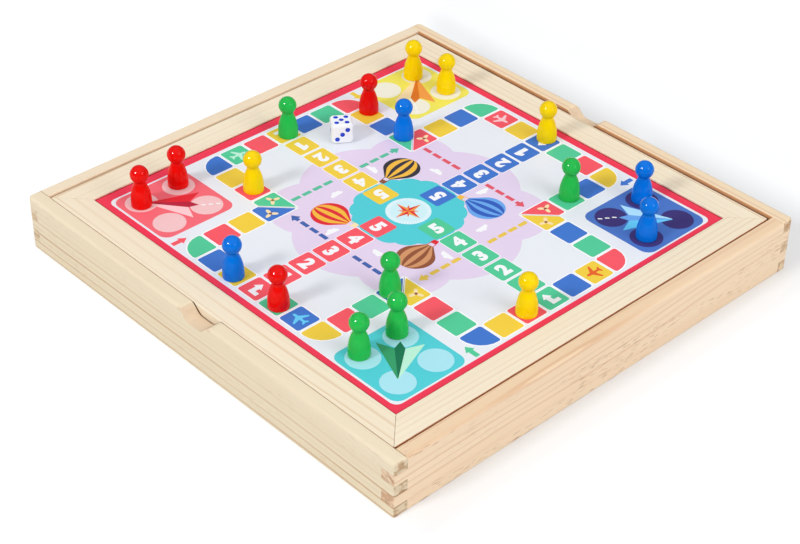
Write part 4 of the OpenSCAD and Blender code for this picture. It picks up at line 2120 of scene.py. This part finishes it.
@dataclass
class Studio:
    """Floor, world, softboxes and camera, in metres and degrees."""

    floor_side: float = 12.0
    lift: float = 0.165
    lit_lift: float = 0.16
    # How deep the painted floor shadow is beside the front and right walls, and how far it reaches.
    front_depth: float = 0.065
    side_depth: float = 0.10
    front_shade: float = 0.030
    side_hidden: float = 0.030
    side_shade: float = 0.043
    horizon: float = 0.27
    zenith: float = 0.92
    mirrored: float = 0.15
    target: Triple = (-0.045703, -0.041902, 0.0335)
    azimuth: float = -43.444
    elevation: float = 36.227
    distance: float = 0.973151
    roll: float = 0.785
    lens: float = 82.57

    FRONT = (0.129, -0.857, 0.501)
    SOFTBOXES = [
        Softbox("key_softbox", (-0.80, 0.085, 0.593), size=1.30, level=0.345),
        Softbox("fill_softbox", FRONT, size=4.0, level=0.36, glossy=False),
        Softbox("fill_glint", FRONT, size=1.50, level=0.325, diffuse=False),
    ]
    ROOM_WHITE = srgb(252, 253, 255)
    FLOOR_WHITE = srgb(232, 233, 234)
    FLOOR_GLOW = srgb(248, 252, 255)

    # Where the floor's painted soft shadow gives way: past the diagonal, away from the box, and at its own
    # edge.
    LIT_SIDE = (0.03, -0.03)
    FAR_FLOOR = (0.09, 0.19)
    SHADE_EDGE = (1.0, 0.45)

    def build(self) -> None:
        """Sets the view, the world, the lights, the floor and the camera."""
        bpy.context.scene.view_settings.view_transform = "Standard"
        self._world()
        self._floor()
        for softbox in self.SOFTBOXES:
            softbox.hang()
        self._camera()

    @staticmethod
    def _seen(sheet: NodeSheet) -> Socket:
        """Gives 1 for the rays that should see a white background, 0 for those that light the object."""
        path = sheet.add("ShaderNodeLightPath")
        return sheet.math("MAXIMUM", path.outputs["Is Camera Ray"], path.outputs["Is Transmission Ray"])

    def _world(self) -> None:
        """A plain white surround that lights from above most, and that gloss mirrors only faintly."""
        world = bpy.data.worlds.new("white_room")
        bpy.context.scene.world = world
        world.use_nodes = True
        sheet = NodeSheet(world.node_tree)
        background = world.node_tree.nodes["Background"]
        background.inputs["Color"].default_value = self.ROOM_WHITE
        direction = sheet.split(sheet.add("ShaderNodeTexCoord").outputs["Generated"])
        light = sheet.between(sheet.math("MAXIMUM", direction["Z"], 0.0), self.horizon, self.zenith)
        mirrored = sheet.add("ShaderNodeLightPath").outputs["Is Glossy Ray"]
        light = sheet.times(light, sheet.between(mirrored, 1.0, self.mirrored))
        strength = sheet.math("MAXIMUM", light, self._seen(sheet))
        sheet.feed(background.inputs["Strength"], strength)

    def _floor(self) -> None:
        """A pale matt floor whose seen glow carries painted light and painted shadow about the box."""
        half = self.floor_side / 2
        mesh = bpy.data.meshes.new("floor")
        corners = [(-half, -half, 0.0), (half, -half, 0.0), (half, half, 0.0), (-half, half, 0.0)]
        mesh.from_pydata(corners, [], [(0, 1, 2, 3)])
        made = Surface("floor_white")
        made.set("Base Color", self.FLOOR_WHITE)
        made.set("Roughness", 0.9)
        made.set("Specular IOR Level", 0.0)
        made.set("Emission Color", self.FLOOR_GLOW)
        made.set("Emission Strength", self._lift(made))
        mesh.materials.append(made.material)
        linked("floor", mesh)

    def _lift(self, made: Surface) -> Socket:
        """Lifts the seen floor to white, with painted light over the box's shade on the left and back, and
        painted shadow as less lift in a soft strip beside the right and front walls.

        Args:
            made: The floor's surface.

        Returns:
            The emission strength.
        """
        sheet = made.sheet
        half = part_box("front_wall")[1].x
        place = sheet.split(made.position)
        # Painted light: the left and back of the floor, and all of it far from the box, get the full lift over
        # their real shade.
        lit = sheet.fade(sheet.minus(place["X"], place["Y"]), *self.LIT_SIDE)
        away = [sheet.size(place[axis]) for axis in "XY"]
        far = sheet.fade(sheet.math("MAXIMUM", *away), *[half + reach for reach in self.FAR_FLOOR])
        lit = sheet.math("MAXIMUM", lit, far)
        # Painted shadow: the lift drops in a soft strip beside the front and right walls.
        ahead = sheet.math("DIVIDE", sheet.minus(-half, place["Y"]), self.front_shade)
        past = sheet.minus(place["X"], half + self.side_hidden)
        aside = sheet.math("DIVIDE", past, self.side_shade)
        shade = sheet.fade(sheet.math("MAXIMUM", ahead, aside), *self.SHADE_EDGE)
        shade = sheet.times(shade, sheet.minus(1.0, lit))
        strength = sheet.scaled(lit, self.lit_lift, self.lift)
        sideways = sheet.fade(past, -self.side_hidden, 0.0)
        depth = sheet.between(sideways, self.front_depth, self.side_depth)
        strength = sheet.minus(strength, sheet.times(shade, depth))
        return sheet.times(self._seen(sheet), strength)

    def _camera(self) -> None:
        """The camera at the photograph's viewing angle."""
        data = bpy.data.cameras.new("camera")
        data.sensor_fit = "HORIZONTAL"
        data.sensor_width = 36.0
        data.lens = self.lens
        data.clip_start = 0.01
        data.clip_end = 50.0
        holder = linked("camera", data)
        around = math.radians(self.azimuth)
        above = math.radians(self.elevation)
        back = Vector((
            math.sin(around) * math.cos(above), -math.cos(around) * math.cos(above), math.sin(above)
        ))
        right = (-back).cross(Vector((0.0, 0.0, 1.0))).normalized()
        up = right.cross(-back)
        tilt = math.radians(self.roll)
        tilted_right = right * math.cos(tilt) + up * math.sin(tilt)
        tilted_up = up * math.cos(tilt) - right * math.sin(tilt)
        axes = Matrix((tilted_right, tilted_up, back)).transposed().to_4x4()
        axes.translation = Vector(self.target) + back * self.distance
        holder.matrix_world = axes
        bpy.context.scene.camera = holder


def main() -> None:
    """Builds every sub-assembly in order."""
    logging.basicConfig(level=logging.INFO, format="%(message)s")
    shop = Workshop()
    Studio().build()
    PineBox(shop).dress()
    BoardFrame(shop).dress()
    PrintedFace(shop).build()
    PawnSet(shop).build()
    GameDie(shop).build()


if __name__ == "__main__":
    main()
